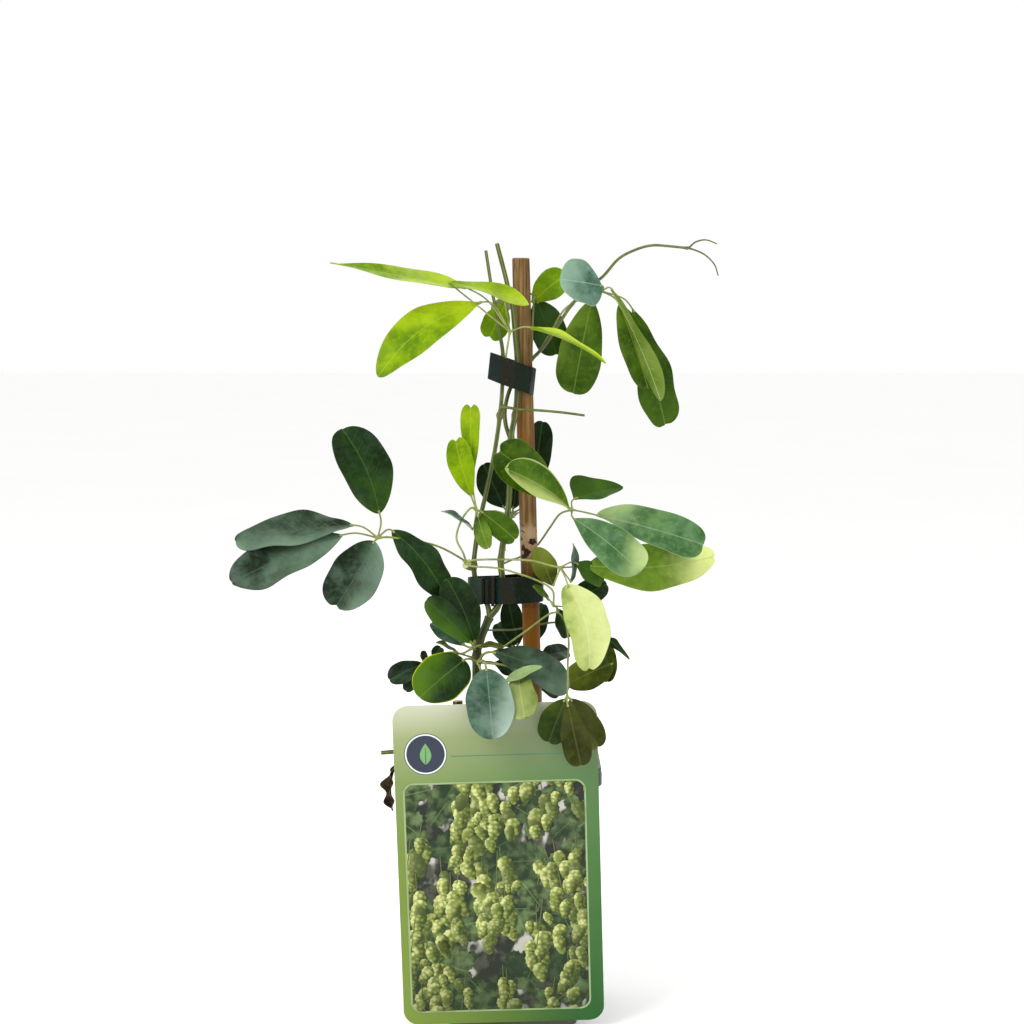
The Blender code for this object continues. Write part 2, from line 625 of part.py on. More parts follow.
def blade_mesh(name, base, tip, width, face, arch, fold):
    """One leaflet as a thin sheet: two halves that meet at the midrib, with a notched tip."""
    base, tip = Vector(base), Vector(tip)
    length = (tip - base).length
    along = (tip - base).normalized()
    up = Vector(face)
    up = (up - along * up.dot(along)).normalized()
    side = along.cross(up)
    rise = math.sin(math.radians(fold))
    spread = math.cos(math.radians(fold))
    verts = []
    for t in BLADE_STATIONS:
        u = min(t, BLADE_END) ** BLADE_BELLY
        fullness = BLADE_FULLNESS[0] + (BLADE_FULLNESS[1] - BLADE_FULLNESS[0]) * u
        half = width / 2 * (4 * u * (1 - u)) ** fullness
        for edge in (-1, 0, 1):
            place = t - BLADE_NOTCH if t == BLADE_STATIONS[-1] and edge == 0 else t
            middle = base + along * (length * place) + up * (arch * length * 4 * place * (1 - place))
            verts.append(middle + side * (edge * half * spread) + up * (abs(edge) * half * rise))
    faces = []
    for i in range(len(BLADE_STATIONS) - 1):
        for k in range(2):
            a = 3 * i + k
            faces.append((a, a + 1, a + 4, a + 3))
    return mesh_of(name, verts, faces)


def add_blade(name, leaflet, finish=None):
    blade = add_piece(name, blade_mesh(name, *leaflet), finish)
    thicken = blade.modifiers.new("Solidify", "SOLIDIFY")
    thicken.thickness = BLADE_THICK * MM
    thicken.offset = 0
    return blade


def make_leaf(name, petiole, leaflets, finish):
    """The petiole, with a petiolule and a blade joined on for each leaflet."""
    route = trimmed(smooth_route(petiole, 1), PETIOLE_START)
    radii = [PETIOLE_RADIUS] * len(route)
    leaf = add_piece(name, tube_mesh(name, route, radii, PETIOLE_SIDES), finish)
    hub = Vector(petiole[-1])
    parts = []
    for leaflet in leaflets:
        base, tip = Vector(leaflet[0]), Vector(leaflet[1])
        end = base + (tip - base).normalized() * PETIOLULE_REACH
        mesh = tube_mesh("petiolule", [hub, end], [PETIOLULE_RADIUS] * 2, PETIOLULE_SIDES)
        parts.append(as_helper(add_piece("petiolule", mesh)))
        parts.append(as_helper(add_blade("blade", leaflet)))
    combine(leaf, parts, "UNION")


def make_stems(green, woody):
    for name, (points, start_radius, end_radius, start) in STEMS.items():
        route = trimmed(smooth_route(points, 1), start)
        finish = woody if name == "old_stub" else green
        mesh = tube_mesh(name, route, tapered(route, start_radius, end_radius), STEM_SIDES)
        add_piece(name, mesh, finish)


clear_scene()
pot_plastic = material("pot_plastic", (0.02, 0.02, 0.022), 0.5)
soil_peat = material("soil_peat", (0.05, 0.03, 0.02), 0.95)
bamboo = material("bamboo", (0.45, 0.27, 0.14), 0.5)
clip_plastic = material("clip_plastic", (0.02, 0.035, 0.03), 0.45)
card_print = material("card_print", (0.42, 0.58, 0.3), 0.4)
hanger_plastic = material("hanger_plastic", (0.75, 0.75, 0.72), 0.4)
green_stem = material("green_stem", (0.1, 0.16, 0.04), 0.5)
old_wood = material("old_wood", (0.2, 0.13, 0.08), 0.8)
leaf_green = material("leaf_green", (0.08, 0.2, 0.04), 0.4)
dead_leaf = material("dead_leaf", (0.1, 0.06, 0.03), 0.8)

make_pot(pot_plastic)
make_soil(soil_peat, [
    (CANE_FOOT, CANE_TOP, CANE_RADIUS + CANE_KNOT_SWELL),
    (*STEMS["stem_base"][0][:2], STEMS["stem_base"][1]),
    (*STEMS["old_stub"][0][:2], STEMS["old_stub"][1]),
])
make_cane(bamboo)
make_clips(clip_plastic)
make_card(card_print)
make_hanger(hanger_plastic)
make_stems(green_stem, old_wood)
for leaf_name, (leaf_petiole, leaf_leaflets) in LEAVES.items():
    make_leaf(leaf_name, leaf_petiole, leaf_leaflets, leaf_green)
add_blade("dry_leaf", DRY_LEAF, dead_leaf)
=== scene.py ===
"""The looks of a young climbing vine on a bamboo cane, in a square nursery pot with a picture card."""

import math
import random

import bmesh
import bpy
import numpy as np
from mathutils import Matrix, Vector, noise


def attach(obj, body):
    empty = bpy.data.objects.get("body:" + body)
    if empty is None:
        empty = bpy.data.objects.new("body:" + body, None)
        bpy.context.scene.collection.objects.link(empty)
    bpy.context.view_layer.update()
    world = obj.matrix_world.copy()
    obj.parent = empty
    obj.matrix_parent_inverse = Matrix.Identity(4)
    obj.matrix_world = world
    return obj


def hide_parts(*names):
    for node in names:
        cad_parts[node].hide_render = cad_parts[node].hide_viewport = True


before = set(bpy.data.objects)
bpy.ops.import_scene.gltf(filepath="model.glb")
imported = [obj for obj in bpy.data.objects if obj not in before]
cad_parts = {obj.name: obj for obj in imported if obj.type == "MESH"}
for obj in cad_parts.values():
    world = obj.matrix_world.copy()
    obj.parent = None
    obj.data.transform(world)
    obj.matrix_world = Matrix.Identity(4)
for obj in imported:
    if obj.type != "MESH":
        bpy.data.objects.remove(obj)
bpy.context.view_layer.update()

# ---------------------------------------------------------------------------------------------
# Nursery pot: a square tapered pot of black polypropylene, injection moulded, with a stepped lip
# and four drain holes. The mould leaves a fine satin grain; dust and dried water dull its foot.
# ---------------------------------------------------------------------------------------------
MM = 0.001

POT_HEIGHT = 131.0
POT_BASE_HALF = 32.5
POT_WALL_TOP_HALF = 42.6
POT_LIP_HALF = 44.0
POT_LIP_HEIGHT = 9.0
POT_WALL = 1.6
POT_CORNER = 9.0
POT_FLOOR = 2.4
POT_FOOT_RECESS = 0.9
POT_INNER_TOP_HALF = 41.7
DRAIN_RADIUS = 3.5
DRAIN_OFFSET = 16.0


def linear(code):
    """A linear colour from its sRGB hex value."""
    parts = [int(code[i:i + 2], 16) / 255 for i in (1, 3, 5)]
    return (*[c / 12.92 if c <= 0.04045 else ((c + 0.055) / 1.055) ** 2.4 for c in parts], 1.0)


def node(tree, kind, *feeds, out=None, **more):
    """Adds one shader node. Feeds go to its inputs in order. A further value whose name starts with a
    capital goes to the input of that name, and any other is a setting. Gives back an output socket."""
    made = tree.nodes.new("ShaderNode" + kind)
    for name, value in more.items():
        if not name[0].isupper():
            setattr(made, name, value)
    targets = list(zip([socket for socket in made.inputs if socket.enabled], feeds))
    named = [name for name in more if name[0].isupper()]
    targets += [(made.inputs[name.replace("_", " ")], more[name]) for name in named]
    for socket, value in targets:
        if isinstance(value, bpy.types.NodeSocket):
            tree.links.new(value, socket)
        else:
            socket.default_value = value
    outputs = [socket for socket in made.outputs if socket.enabled]
    return made.outputs[out] if out else (outputs or [None])[0]


SMOOTH = {"interpolation_type": "SMOOTHSTEP"}
COLOUR = {"data_type": "RGBA"}
TIMES = {"operation": "MULTIPLY"}
TIMES_PLUS = {"operation": "MULTIPLY_ADD"}


def start_material(name):
    """An empty material, and its node tree."""
    made = bpy.data.materials.new(name)
    made.use_nodes = True
    made.node_tree.nodes.clear()
    return made, made.node_tree


def layered(tree, tone, *layers):
    """A tone under layers of other colours. Each layer has its share, its strength and its hex value, and
    the share is a socket, or a pattern with the values at which the layer starts and is full."""
    tone = linear(tone) if isinstance(tone, str) else tone
    for share, strength, code in layers:
        share = node(tree, "MapRange", *share, **SMOOTH) if isinstance(share, tuple) else share
        share = share if strength == 1 else node(tree, "Math", share, strength, **TIMES)
        tone = node(tree, "Mix", share, tone, linear(code), **COLOUR)
    return tone


def grain(tree, size_mm, detail=2.0, stretch=(1, 1, 1), rough=0.5):
    """A cloudy pattern with lumps of a real size; a stretch below 1 draws them out along an axis."""
    scale = tuple(s / (size_mm * MM) for s in stretch)
    place = node(tree, "Mapping", Vector=node(tree, "TexCoord", out="Object"), Scale=scale)
    return node(tree, "TexNoise", Vector=place, Scale=1.0, Detail=detail, Roughness=rough)


def loft(rings, closed=False):
    """Points and faces through rings of equally many points: capped at both ends, or closed in a loop."""
    size = len(rings[0])
    points = [p for ring in rings for p in ring]
    faces = []
    for i in range(len(rings) - (0 if closed else 1)):
        ahead = (i + 1) % len(rings)
        for k in range(size):
            after = (k + 1) % size
            faces.append((i * size + k, i * size + after, ahead * size + after, ahead * size + k))
    if not closed:
        faces.append(tuple(range(size)))
        faces.append(tuple(range(len(points) - size, len(points))))
    return points, faces


def face_outward(mesh):
    """Turns every face of closed bodies outward."""
    work = bmesh.new()
    work.from_mesh(mesh)
    bmesh.ops.recalc_face_normals(work, faces=work.faces)
    work.to_mesh(mesh)
    work.free()


def make_piece(name, shapes, finishes, stands_for=(), crease=40):
    """One visible piece from closed shapes, each (points in mm, faces, marks, finish number)."""
    points, faces, numbers, marks = [], [], [], {}
    for shape_points, shape_faces, shape_marks, number in shapes:
        start = len(points)
        for key in shape_marks:
            marks.setdefault(key, [0.0] * start)
        points += [(p[0] * MM, p[1] * MM, p[2] * MM) for p in shape_points]
        for key, values in marks.items():
            values += shape_marks.get(key, [0.0] * len(shape_points))
        faces += [tuple(start + i for i in face) for face in shape_faces]
        numbers += [number] * len(shape_faces)
    mesh = bpy.data.meshes.new(name)
    mesh.from_pydata(points, [], faces)
    for finish in finishes:
        mesh.materials.append(finish)
    mesh.polygons.foreach_set("material_index", numbers)
    for key, values in marks.items():
        mesh.attributes.new(key, "FLOAT", "POINT").data.foreach_set("value", values)
    face_outward(mesh)
    mesh.shade_smooth()
    mesh.set_sharp_from_angle(angle=math.radians(crease))
    piece = bpy.data.objects.new(name, mesh)
    bpy.context.scene.collection.objects.link(piece)
    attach(piece, "root")
    if stands_for:
        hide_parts(*stands_for)
    return piece


def rounded_plan(left, right, low, high, corner, steps=8):
    """Points round a flat rectangle with round corners."""
    points = []
    for quarter, (x, y) in enumerate(((right, high), (left, high), (left, low), (right, low))):
        sx, sy = (1 if x == right else -1), (1 if y == high else -1)
        for i in range(steps + 1):
            turn = math.radians(90 * quarter + 90 * i / steps)
            points.append((x + corner * (math.cos(turn) - sx), y + corner * (math.sin(turn) - sy)))
    return points


def rounded_square(half, corner, height, steps=8):
    """Points round a square with round corners, at one height."""
    return [(x, y, height) for x, y in rounded_plan(-half, half, -half, half, corner, steps)]


def pot_half(height):
    """Half the pot's outer width at a height below its lip."""
    return POT_BASE_HALF + (POT_WALL_TOP_HALF - POT_BASE_HALF) * height / (POT_HEIGHT - POT_LIP_HEIGHT)


lip_foot = POT_HEIGHT - POT_LIP_HEIGHT
profile = [(POT_BASE_HALF - 7, POT_FOOT_RECESS), (POT_BASE_HALF - 5.2, POT_FOOT_RECESS)]
profile += [(POT_BASE_HALF - 4.6, 0.0), (POT_BASE_HALF - 1.0, 0.0), (POT_BASE_HALF - 0.3, 0.3)]
profile += [(pot_half(h), h) for h in (1.0, 3.0, 30.0, 60.0, 90.0, 112.0, 119.0)]
profile += [(pot_half(lip_foot) - 0.1, lip_foot - 0.5), (pot_half(lip_foot) + 0.3, lip_foot)]
profile += [(POT_LIP_HALF - 0.3, lip_foot), (POT_LIP_HALF, lip_foot + 0.4), (POT_LIP_HALF, POT_HEIGHT - 3.2)]
profile += [(POT_LIP_HALF - 0.25, POT_HEIGHT - 2.8), (POT_LIP_HALF - 0.25, POT_HEIGHT - 0.8)]
profile += [(POT_LIP_HALF - 0.6, POT_HEIGHT - 0.15), (POT_LIP_HALF - 1.2, POT_HEIGHT)]
profile += [(POT_INNER_TOP_HALF + 0.4, POT_HEIGHT), (POT_INNER_TOP_HALF, POT_HEIGHT - 0.5)]
profile += [(pot_half(POT_FLOOR) - POT_WALL, POT_FLOOR)]
pot_rings = [rounded_square(half, POT_CORNER - max(0, POT_LIP_HALF - half) * 0.1, h) for half, h in profile]

# Black polypropylene with a moulded grain, drawn at 0.6 mm because the real 0.1 mm grain is too fine
# to show. It gives soft broad highlights; grey-brown dust gathers at the foot.
polypropylene, tree = start_material("black_polypropylene_moulded")
clouds = grain(tree, 14, 4)
scuffs = node(tree, "MapRange", grain(tree, 1.6, 3, (1, 1, 0.12)), 0.62, 0.72, **SMOOTH)
height_up = node(tree, "SeparateXYZ", node(tree, "TexCoord", out="Object"), out="Z")
foot_zone = node(tree, "MapRange", height_up, 0.04, 0.0, **SMOOTH)
foot_dust = node(tree, "Math", foot_zone, clouds, **TIMES)
tone = layered(tree, "#17191A", (clouds, 1, "#232625"), (foot_dust, 0.75, "#6B6254"),
               (scuffs, 0.08, "#6E706C"))
skin = node(tree, "BsdfPrincipled", Base_Color=tone, Specular_IOR_Level=0.45,
            Roughness=node(tree, "Math", clouds, 0.22, 0.34, **TIMES_PLUS),
            Normal=node(tree, "Bump", Height=grain(tree, 0.6, 1), Distance=0.03 * MM))
node(tree, "OutputMaterial", skin)

pot = make_piece("pot", [(*loft(pot_rings), {}, 0)], [polypropylene], ["nursery_pot"], 30)
for x in (-1, 1):
    for y in (-1, 1):
        ring = [(math.cos(math.tau * k / 32), math.sin(math.tau * k / 32)) for k in range(32)]
        centre_x, centre_y = x * DRAIN_OFFSET, y * DRAIN_OFFSET
        drain_rings = [
            [(centre_x + DRAIN_RADIUS * c, centre_y + DRAIN_RADIUS * s, z) for c, s in ring]
            for z in (-POT_FLOOR, POT_FLOOR * 2)
        ]
        cutter_mesh = bpy.data.meshes.new("drain_cutter")
        cutter_points, cutter_faces = loft(drain_rings)
        cutter_mesh.from_pydata([Vector(p) * MM for p in cutter_points], [], cutter_faces)
        face_outward(cutter_mesh)
        cutter = bpy.data.objects.new("drain_cutter", cutter_mesh)
        bpy.context.scene.collection.objects.link(cutter)
        cut = pot.modifiers.new("drain", "BOOLEAN")
        cut.object = cutter
        cut.solver = "EXACT"
        bpy.context.view_layer.update()
        evaluated = pot.evaluated_get(bpy.context.evaluated_depsgraph_get())
        pierced = bpy.data.meshes.new_from_object(evaluated)
        pot.modifiers.clear()
        pot.data = pierced
        bpy.data.objects.remove(cutter)

# ---------------------------------------------------------------------------------------------
# Potting soil: a block of moist peat with bark and a little perlite, which holds the roots. It is
# loose on top, with crumbs, bark chips and a few white grains lying in its hollows.
# ---------------------------------------------------------------------------------------------
SOIL_TOP = 123.0
SOIL_GAP = 0.3
SOIL_SINK = 0.4
# How wide and how high the lumps of the loose top are, from broad to fine
SOIL_LUMPS = ((17.0, 2.0), (6.0, 1.1), (2.2, 0.8), (0.9, 0.4))
SOIL_RINGS = 34
CRUMBS = 620


def lump(centre, size, seed, flat=1.0, rings=5, around=8):
    """A small rough ball: a closed body with uneven radius."""
    rng = random.Random(seed)
    turned = rng.uniform(0, math.tau)
    lean = Matrix.Rotation(turned, 3, Vector((rng.random(), rng.random(), rng.random() + 0.1)))
    made = []
    for i in range(rings + 1):
        fall = math.pi * (i + 0.15) / (rings + 0.3)
        ring = []
        for k in range(around):
            turn = math.tau * k / around
            reach = size * rng.uniform(0.75, 1.2)
            wide, tall = math.sin(fall), math.cos(fall) * flat
            p = Vector((wide * math.cos(turn), wide * math.sin(turn), tall))
            ring.append(tuple(Vector(centre) + lean @ (p * reach)))
        made.append(ring)
    return loft(made)


def soil_height(x, y):
    """How high the loose soil lies at a place on top of the block."""
    spot = Vector((x, y, 0))
    return SOIL_TOP - SOIL_SINK + sum(noise.noise(spot / wide) * high for wide, high in SOIL_LUMPS)


soil_inner = POT_INNER_TOP_HALF - SOIL_GAP
soil_rings = [rounded_square(pot_half(3.0) - POT_WALL - SOIL_GAP, POT_CORNER - POT_WALL, 2.8, 16)]
share_up = (SOIL_TOP - 3.0) / (POT_HEIGHT - 3.0)
top_half = (pot_half(3.0) - POT_WALL) * (1 - share_up) + soil_inner * share_up - SOIL_GAP
soil_rings.append(rounded_square(top_half, POT_CORNER - POT_WALL, SOIL_TOP - 2.5, 16))
for i in range(SOIL_RINGS):
    shrink = 1 - i / (SOIL_RINGS + 0.5)
    ring = rounded_square(top_half * shrink, (POT_CORNER - POT_WALL) * shrink, 0, 16)
    soil_rings.append([(x, y, soil_height(x, y)) for x, y, _ in ring])

# Moist peat: nearly black brown, dull, with fibres that catch a little light. The fibre pattern is drawn
# at 1.2 mm, and real peat fibres are about that long.
peat, tree = start_material("moist_peat")
fibres = grain(tree, 1.2, 4, (1, 0.4, 1), 0.65)
tone = layered(tree, "#2A1D14", (grain(tree, 5, 3), 1, "#3E2C1E"),
               ((fibres, 0.55, 0.75), 1, "#6A4E35"))
skin = node(tree, "BsdfPrincipled", Base_Color=tone, Roughness=0.95, Specular_IOR_Level=0.25,
            Normal=node(tree, "Bump", Height=fibres, Distance=0.5 * MM))
node(tree, "OutputMaterial", skin)

# Composted bark: red-brown chips with pale torn edges, and expanded perlite, a white volcanic glass foam.
crumb_kinds = [peat]
for name, pattern, dark, light, rough, bumps in (
        ("composted_bark", (1.5, 3, (1, 0.3, 1)), "#3B2416", "#7C5535", 0.85, (0.8, 3)),
        ("expanded_perlite", (0.8, 2), "#D9D6CC", "#F3F1EA", 0.8, (0.5, 2))):
    made, tree = start_material(name)
    tone = layered(tree, dark, (grain(tree, *pattern), 1, light))
    bump = node(tree, "Bump", Height=grain(tree, *bumps), Distance=0.2 * MM)
    node(tree, "OutputMaterial", node(tree, "BsdfPrincipled", Base_Color=tone, Roughness=rough, Normal=bump))
    crumb_kinds.append(made)

make_piece("soil_block", [(*loft(soil_rings), {}, 0)], [peat], ["soil"], 80)
rng = random.Random(7)
crumb_shapes = []
for i in range(CRUMBS):
    x, y = rng.uniform(-39, 39), rng.uniform(-39, 39)
    kind = rng.choices((0, 1, 2), (0.74, 0.21, 0.05))[0]
    size = rng.uniform(0.5, 1.5) if kind != 1 else rng.uniform(1.0, 2.2)
    flat = 0.35 if kind == 1 else 0.8
    at = (x, y, soil_height(x, y) + size * 0.15)
    crumb_shapes.append((*lump(at, size, 1000 + i, flat), {}, kind))
make_piece("soil_crumbs", crumb_shapes, crumb_kinds)

# ---------------------------------------------------------------------------------------------
# Cane: a dried bamboo cane, sawn square at the top and pushed into the soil to its foot. Its skin is
# hard and satin, with long fibre streaks, three knots and old scars, and painted shade on its right side.
# ---------------------------------------------------------------------------------------------
CANE_TOP = Vector((4.3, 6.0, 379.5))
CANE_FOOT = Vector((15.0, 6.0, 12.0))
CANE_RADIUS = 4.4
CANE_KNOTS = (95.0, 206.0, 318.0)
# Each knot's swelling, its ridge and the groove under it: how high, how far above the knot, how wide
CANE_KNOT_RINGS = ((0.25, 0.0, 2.2), (0.16, 0.8, 0.5), (-0.28, -0.7, 0.35))
CANE_SIDES = 40
CANE_STEP = 1.5
CANE_UNEVEN = 0.14
CANE_FLUTES = (9, 0.03)


def cane_bend(height):
    """How far the skin stands out at a height: a ridge over a fine groove at each knot."""
    return sum(high * math.exp(-((height - knot - above) / wide) ** 2)
               for knot in CANE_KNOTS for high, above, wide in CANE_KNOT_RINGS)


cane_heights = [CANE_FOOT.z + CANE_STEP * i for i in range(245)]
for knot in CANE_KNOTS:
    cane_heights += [knot - 1.1 + 0.2 * i for i in range(12)]
cane_heights = sorted(h for h in cane_heights if h < CANE_TOP.z - 1.2)
cane_rings, cane_marks = [], {"knot": [], "up": [], "turn_x": [], "sawn": []}
ends = [(h, 1.0, 0.0) for h in cane_heights]
ends += [(CANE_TOP.z - 0.9, 1.0, 0.0), (CANE_TOP.z - 0.35, 0.97, 0.1), (CANE_TOP.z - 0.05, 0.88, 0.6)]
ends += [(CANE_TOP.z, 0.7, 1.0), (CANE_TOP.z - 0.1, 0.45, 1.0), (CANE_TOP.z - 0.25, 0.2, 1.0)]
for height, shrink, sawn in ends:
    centre = CANE_FOOT.lerp(CANE_TOP, (height - CANE_FOOT.z) / (CANE_TOP.z - CANE_FOOT.z))
    near = min(abs(height - knot) for knot in CANE_KNOTS)
    ring = []
    for k in range(CANE_SIDES):
        turn = math.tau * k / CANE_SIDES
        spot = Vector((math.cos(turn) * 0.8, math.sin(turn) * 0.8, height / 60))
        flutes = CANE_FLUTES[1] * math.sin(CANE_FLUTES[0] * turn + height * 0.02)
        uneven = CANE_UNEVEN * noise.noise(spot) + flutes
        reach = (CANE_RADIUS + cane_bend(height) + uneven) * shrink
        ring.append((centre.x + reach * math.cos(turn), centre.y + reach * math.sin(turn), height))
        cane_marks["turn_x"].append(math.cos(turn + 0.5))
    cane_rings.append(ring)
    cane_marks["knot"] += [math.exp(-(near / 1.1) ** 2)] * CANE_SIDES
    cane_marks["up"] += [height] * CANE_SIDES
    cane_marks["sawn"] += [sawn] * CANE_SIDES

# Dried bamboo: tan above and rust brown below, with fibre streaks a millimetre wide and several
# centimetres long, and a hard skin that gives one long soft highlight.
bamboo, tree = start_material("dried_bamboo")
knot_mark, up, turn_x, sawn_mark = (
    node(tree, "Attribute", out="Fac", attribute_name=key) for key in ("knot", "up", "turn_x", "sawn"))
streaks = grain(tree, 1.1, 3, (1, 1, 0.04), 0.6)
hair = grain(tree, 0.45, 2, (1, 1, 0.05))
patches = grain(tree, 9, 3, (1, 1, 0.35))
scar_spots = node(tree, "MapRange", grain(tree, 4.4, 3, (1, 1, 1.2)), 0.54, 0.59, **SMOOTH)
ring_spots = node(tree, "MapRange", grain(tree, 2.4, 2), 0.3, 0.55, **SMOOTH)
# each zone of the skin is where two patterns or heights meet, each between its two limits
low_rust, mid_rust, painted_side_shade, top_stain, scar_zone = (
    node(tree, "Math", *(node(tree, "MapRange", *limits, **SMOOTH) for limits in pair), **TIMES)
    for pair in (
        ((up, 235.0, 205.0), (up, 150.0, 185.0)),
        ((up, 318.0, 296.0), (up, 262.0, 290.0)),
        # painted shade: the side that faces right and a little forward is darkened in patches
        ((turn_x, 0.15, 0.95), (patches, 0.35, 0.6)),
        ((up, 345.0, 376.0), (grain(tree, 4, 3, (1, 1, 0.2)), 0.5, 0.62)),
        ((up, 226.0, 231.0), (up, 249.0, 243.0)),
    ))
tone = layered(
    tree, "#8A6E46", ((streaks, 0.35, 0.65), 1, "#5F4624"),
    (low_rust, 0.95, "#7A4A08"), (node(tree, "Math", mid_rust, patches, **TIMES), 0.9, "#8E5818"),
    # painted shade in patches down the right side
    (painted_side_shade, 0.6, "#4C361C"), (top_stain, 0.8, "#3E2A1E"), (scar_zone, 0.6, "#B39878"),
    (node(tree, "Math", scar_zone, scar_spots, **TIMES), 1, "#2C1710"),
    (node(tree, "Math", knot_mark, ring_spots, **TIMES), 0.75, "#4A2A18"),
    ((hair, 0.55, 0.8), 0.35, "#876434"), (sawn_mark, 1, "#B98F72"))
ridges = node(tree, "Math", streaks, hair, operation="ADD")
skin = node(tree, "BsdfPrincipled", Base_Color=tone, Specular_IOR_Level=0.12,
            Roughness=node(tree, "Math", streaks, 0.2, 0.38, **TIMES_PLUS),
            Normal=node(tree, "Bump", Height=ridges, Distance=0.1 * MM))
node(tree, "OutputMaterial", skin)
cane_points, cane_faces = loft(cane_rings)
make_piece("bamboo_cane", [(cane_points, cane_faces, cane_marks, 0)], [bamboo], ["cane"], 50)

# ---------------------------------------------------------------------------------------------
# Stems: the vine's wiry green stems, pruned with shears at their tops, with swollen joints where
# leaves grew. The bark is ribbed along the stem; the base is old and brown, the side shoot is young.
# ---------------------------------------------------------------------------------------------
STEM_SIDES = 14
STEM_STEPS = 6
STEM_RIBS = 5
STEM_RIB_DEPTH = 0.03
STEM_TWIST = 0.03
JOINT_SPREAD = 1.7
# Radius in mm at start and end, where along the route a joint swells and how much, the bark, and the route
STEMS = {
    "stem_base": (2.4, 2.0, {2: 0.12, 3: 0.3, 4: 0.25, 6: 0.2}, "dark", (
        (-14, -6, 115), (-16, -8, 139), (-17.5, -9, 160), (-17.5, -9, 181), (-16.5, -9, 188),
        (-12.5, -7.5, 198), (-11.2, -7, 201))),
    "stem_left": (1.4, 0.8, {4: 0.6, 9: 0.9}, "green", (
        (-11.2, -7, 201), (-12, -5.5, 206), (-14.5, -4.6, 212), (-18, -4.6, 219), (-19, -5, 227),
        (-18, -6, 237), (-16, -5, 249.5), (-12.5, -4, 264.5), (-8.5, -3, 284), (-6, -3, 301.5),
        (-5, -3, 313), (-4.5, -3, 330.5), (-6, -2, 341.5), (-8.5, -1, 356), (-10, 0, 363.5),
        (-13, 1, 383))),
    "stem_right": (1.75, 1.1, {4: 0.25, 7: 0.3, 8: 0.35}, "green", (
        (-11.2, -7, 201), (-7.2, -5.5, 206), (-5.2, -4, 213), (-5, -4, 221), (-5.5, -4, 229.5),
        (-3.5, -3, 244), (-1.5, -2, 259), (-0.5, -1, 289), (1.5, -1, 301.5), (2.5, -1.2, 312.5),
        (2.5, -1.4, 329), (1.5, -1.2, 341.5), (0.5, -1, 353.5), (-1.5, 0, 362.5), (-3.5, 1, 371),
        (-7.5, 2, 386.5))),
    "shoot_side": (1.1, 0.6, {0: 0.4, 9: 0.3, 16: 0.6}, "green", (
        (-0.5, -1, 289), (-3, 3.5, 296), (-3.5, 6.5, 304), (-1, 10.4, 314), (3.5, 12.4, 320.5),
        (7.5, 12.2, 326), (11, 11.6, 330), (16.5, 11, 336), (23, 10, 346), (30, 9, 356.5),
        (38, 8, 364.5), (45.5, 6, 370.5), (53, 4, 379), (61.5, 2, 383.5), (69.5, 0, 385.5),
        (78, -2, 385), (87, -4, 384))),
    "shoot_tip_up": (0.5, 0.3, {}, "green", (
        (87, -4, 384), (90.5, -5, 387), (95.5, -6, 388), (101, -7, 386))),
    "shoot_tip_down": (0.5, 0.3, {}, "green", (
        (87, -4, 384), (91, -4, 382.8), (95.5, -4, 380.5), (100, -3, 376), (102, -2, 370.5))),
    "twig_stub": (0.75, 0.6, {0: 1.3}, "green", (
        (-5, -3, 305.5), (-2.5, -5, 305.5), (4, -5.5, 304.5), (14, -6, 304), (25, -6, 303),
        (36, -5, 301.5))),
    "spur": (1.4, 2.0, {1: 0.25, 2: 0.35}, "green", (
        (-19, -5, 225), (-21, -7.5, 226.5), (-22.5, -9, 228))),
    "runner": (1.2, 1.05, {0: 0.3, 3: 0.3}, "green", (
        (-16, -8, 139), (-24, -9, 137), (-32, -9.5, 135.5), (-43.5, -10, 134.5), (-53, -10, 134),
        (-65.5, -10, 133))),
    "old_stub": (2.8, 2.5, {1: 0.15}, "wood", (
        (-25, -12, 115), (-26, -14, 138), (-27, -14, 160))),
}


def smooth_route(points, steps):
    """Points on a Catmull-Rom curve through the given ones."""
    points = [Vector(p) for p in points]
    padded = [2 * points[0] - points[1], *points, 2 * points[-1] - points[-2]]
    route = []
    for a, b, c, d in zip(padded, padded[1:], padded[2:], padded[3:]):
        for i in range(steps):
            t = i / steps
            route.append(0.5 * (2 * b + (c - a) * t + (2 * a - 5 * b + 4 * c - d) * t**2
                                + (3 * b - a - 3 * c + d) * t**3))
    return [*route, points[-1]]


def tube(route, radii, sides, ribs=0, rib_depth=0.0, twist=0.0):
    """A closed tube along a route, with a radius for each point, flat caps at both ends and lengthwise ribs.
    """
    across = None
    rings = []
    run = 0.0
    rib_marks = []
    for i, point in enumerate(route):
        along = (route[min(i + 1, len(route) - 1)] - route[max(i - 1, 0)]).normalized()
        if across is None:
            across = along.orthogonal().normalized()
        across = (across - along * across.dot(along)).normalized()
        other = along.cross(across)
        if i:
            run += (point - route[i - 1]).length
        ring = []
        for k in range(sides):
            turn = math.tau * k / sides
            rib = math.cos(ribs * turn + twist * run) if ribs else 0.0
            reach = radii[i] * (1 + rib_depth * rib)
            ring.append(tuple(point + reach * (across * math.cos(turn) + other * math.sin(turn))))
            rib_marks.append(rib)
        rings.append(ring)
    return (*loft(rings), rib_marks)


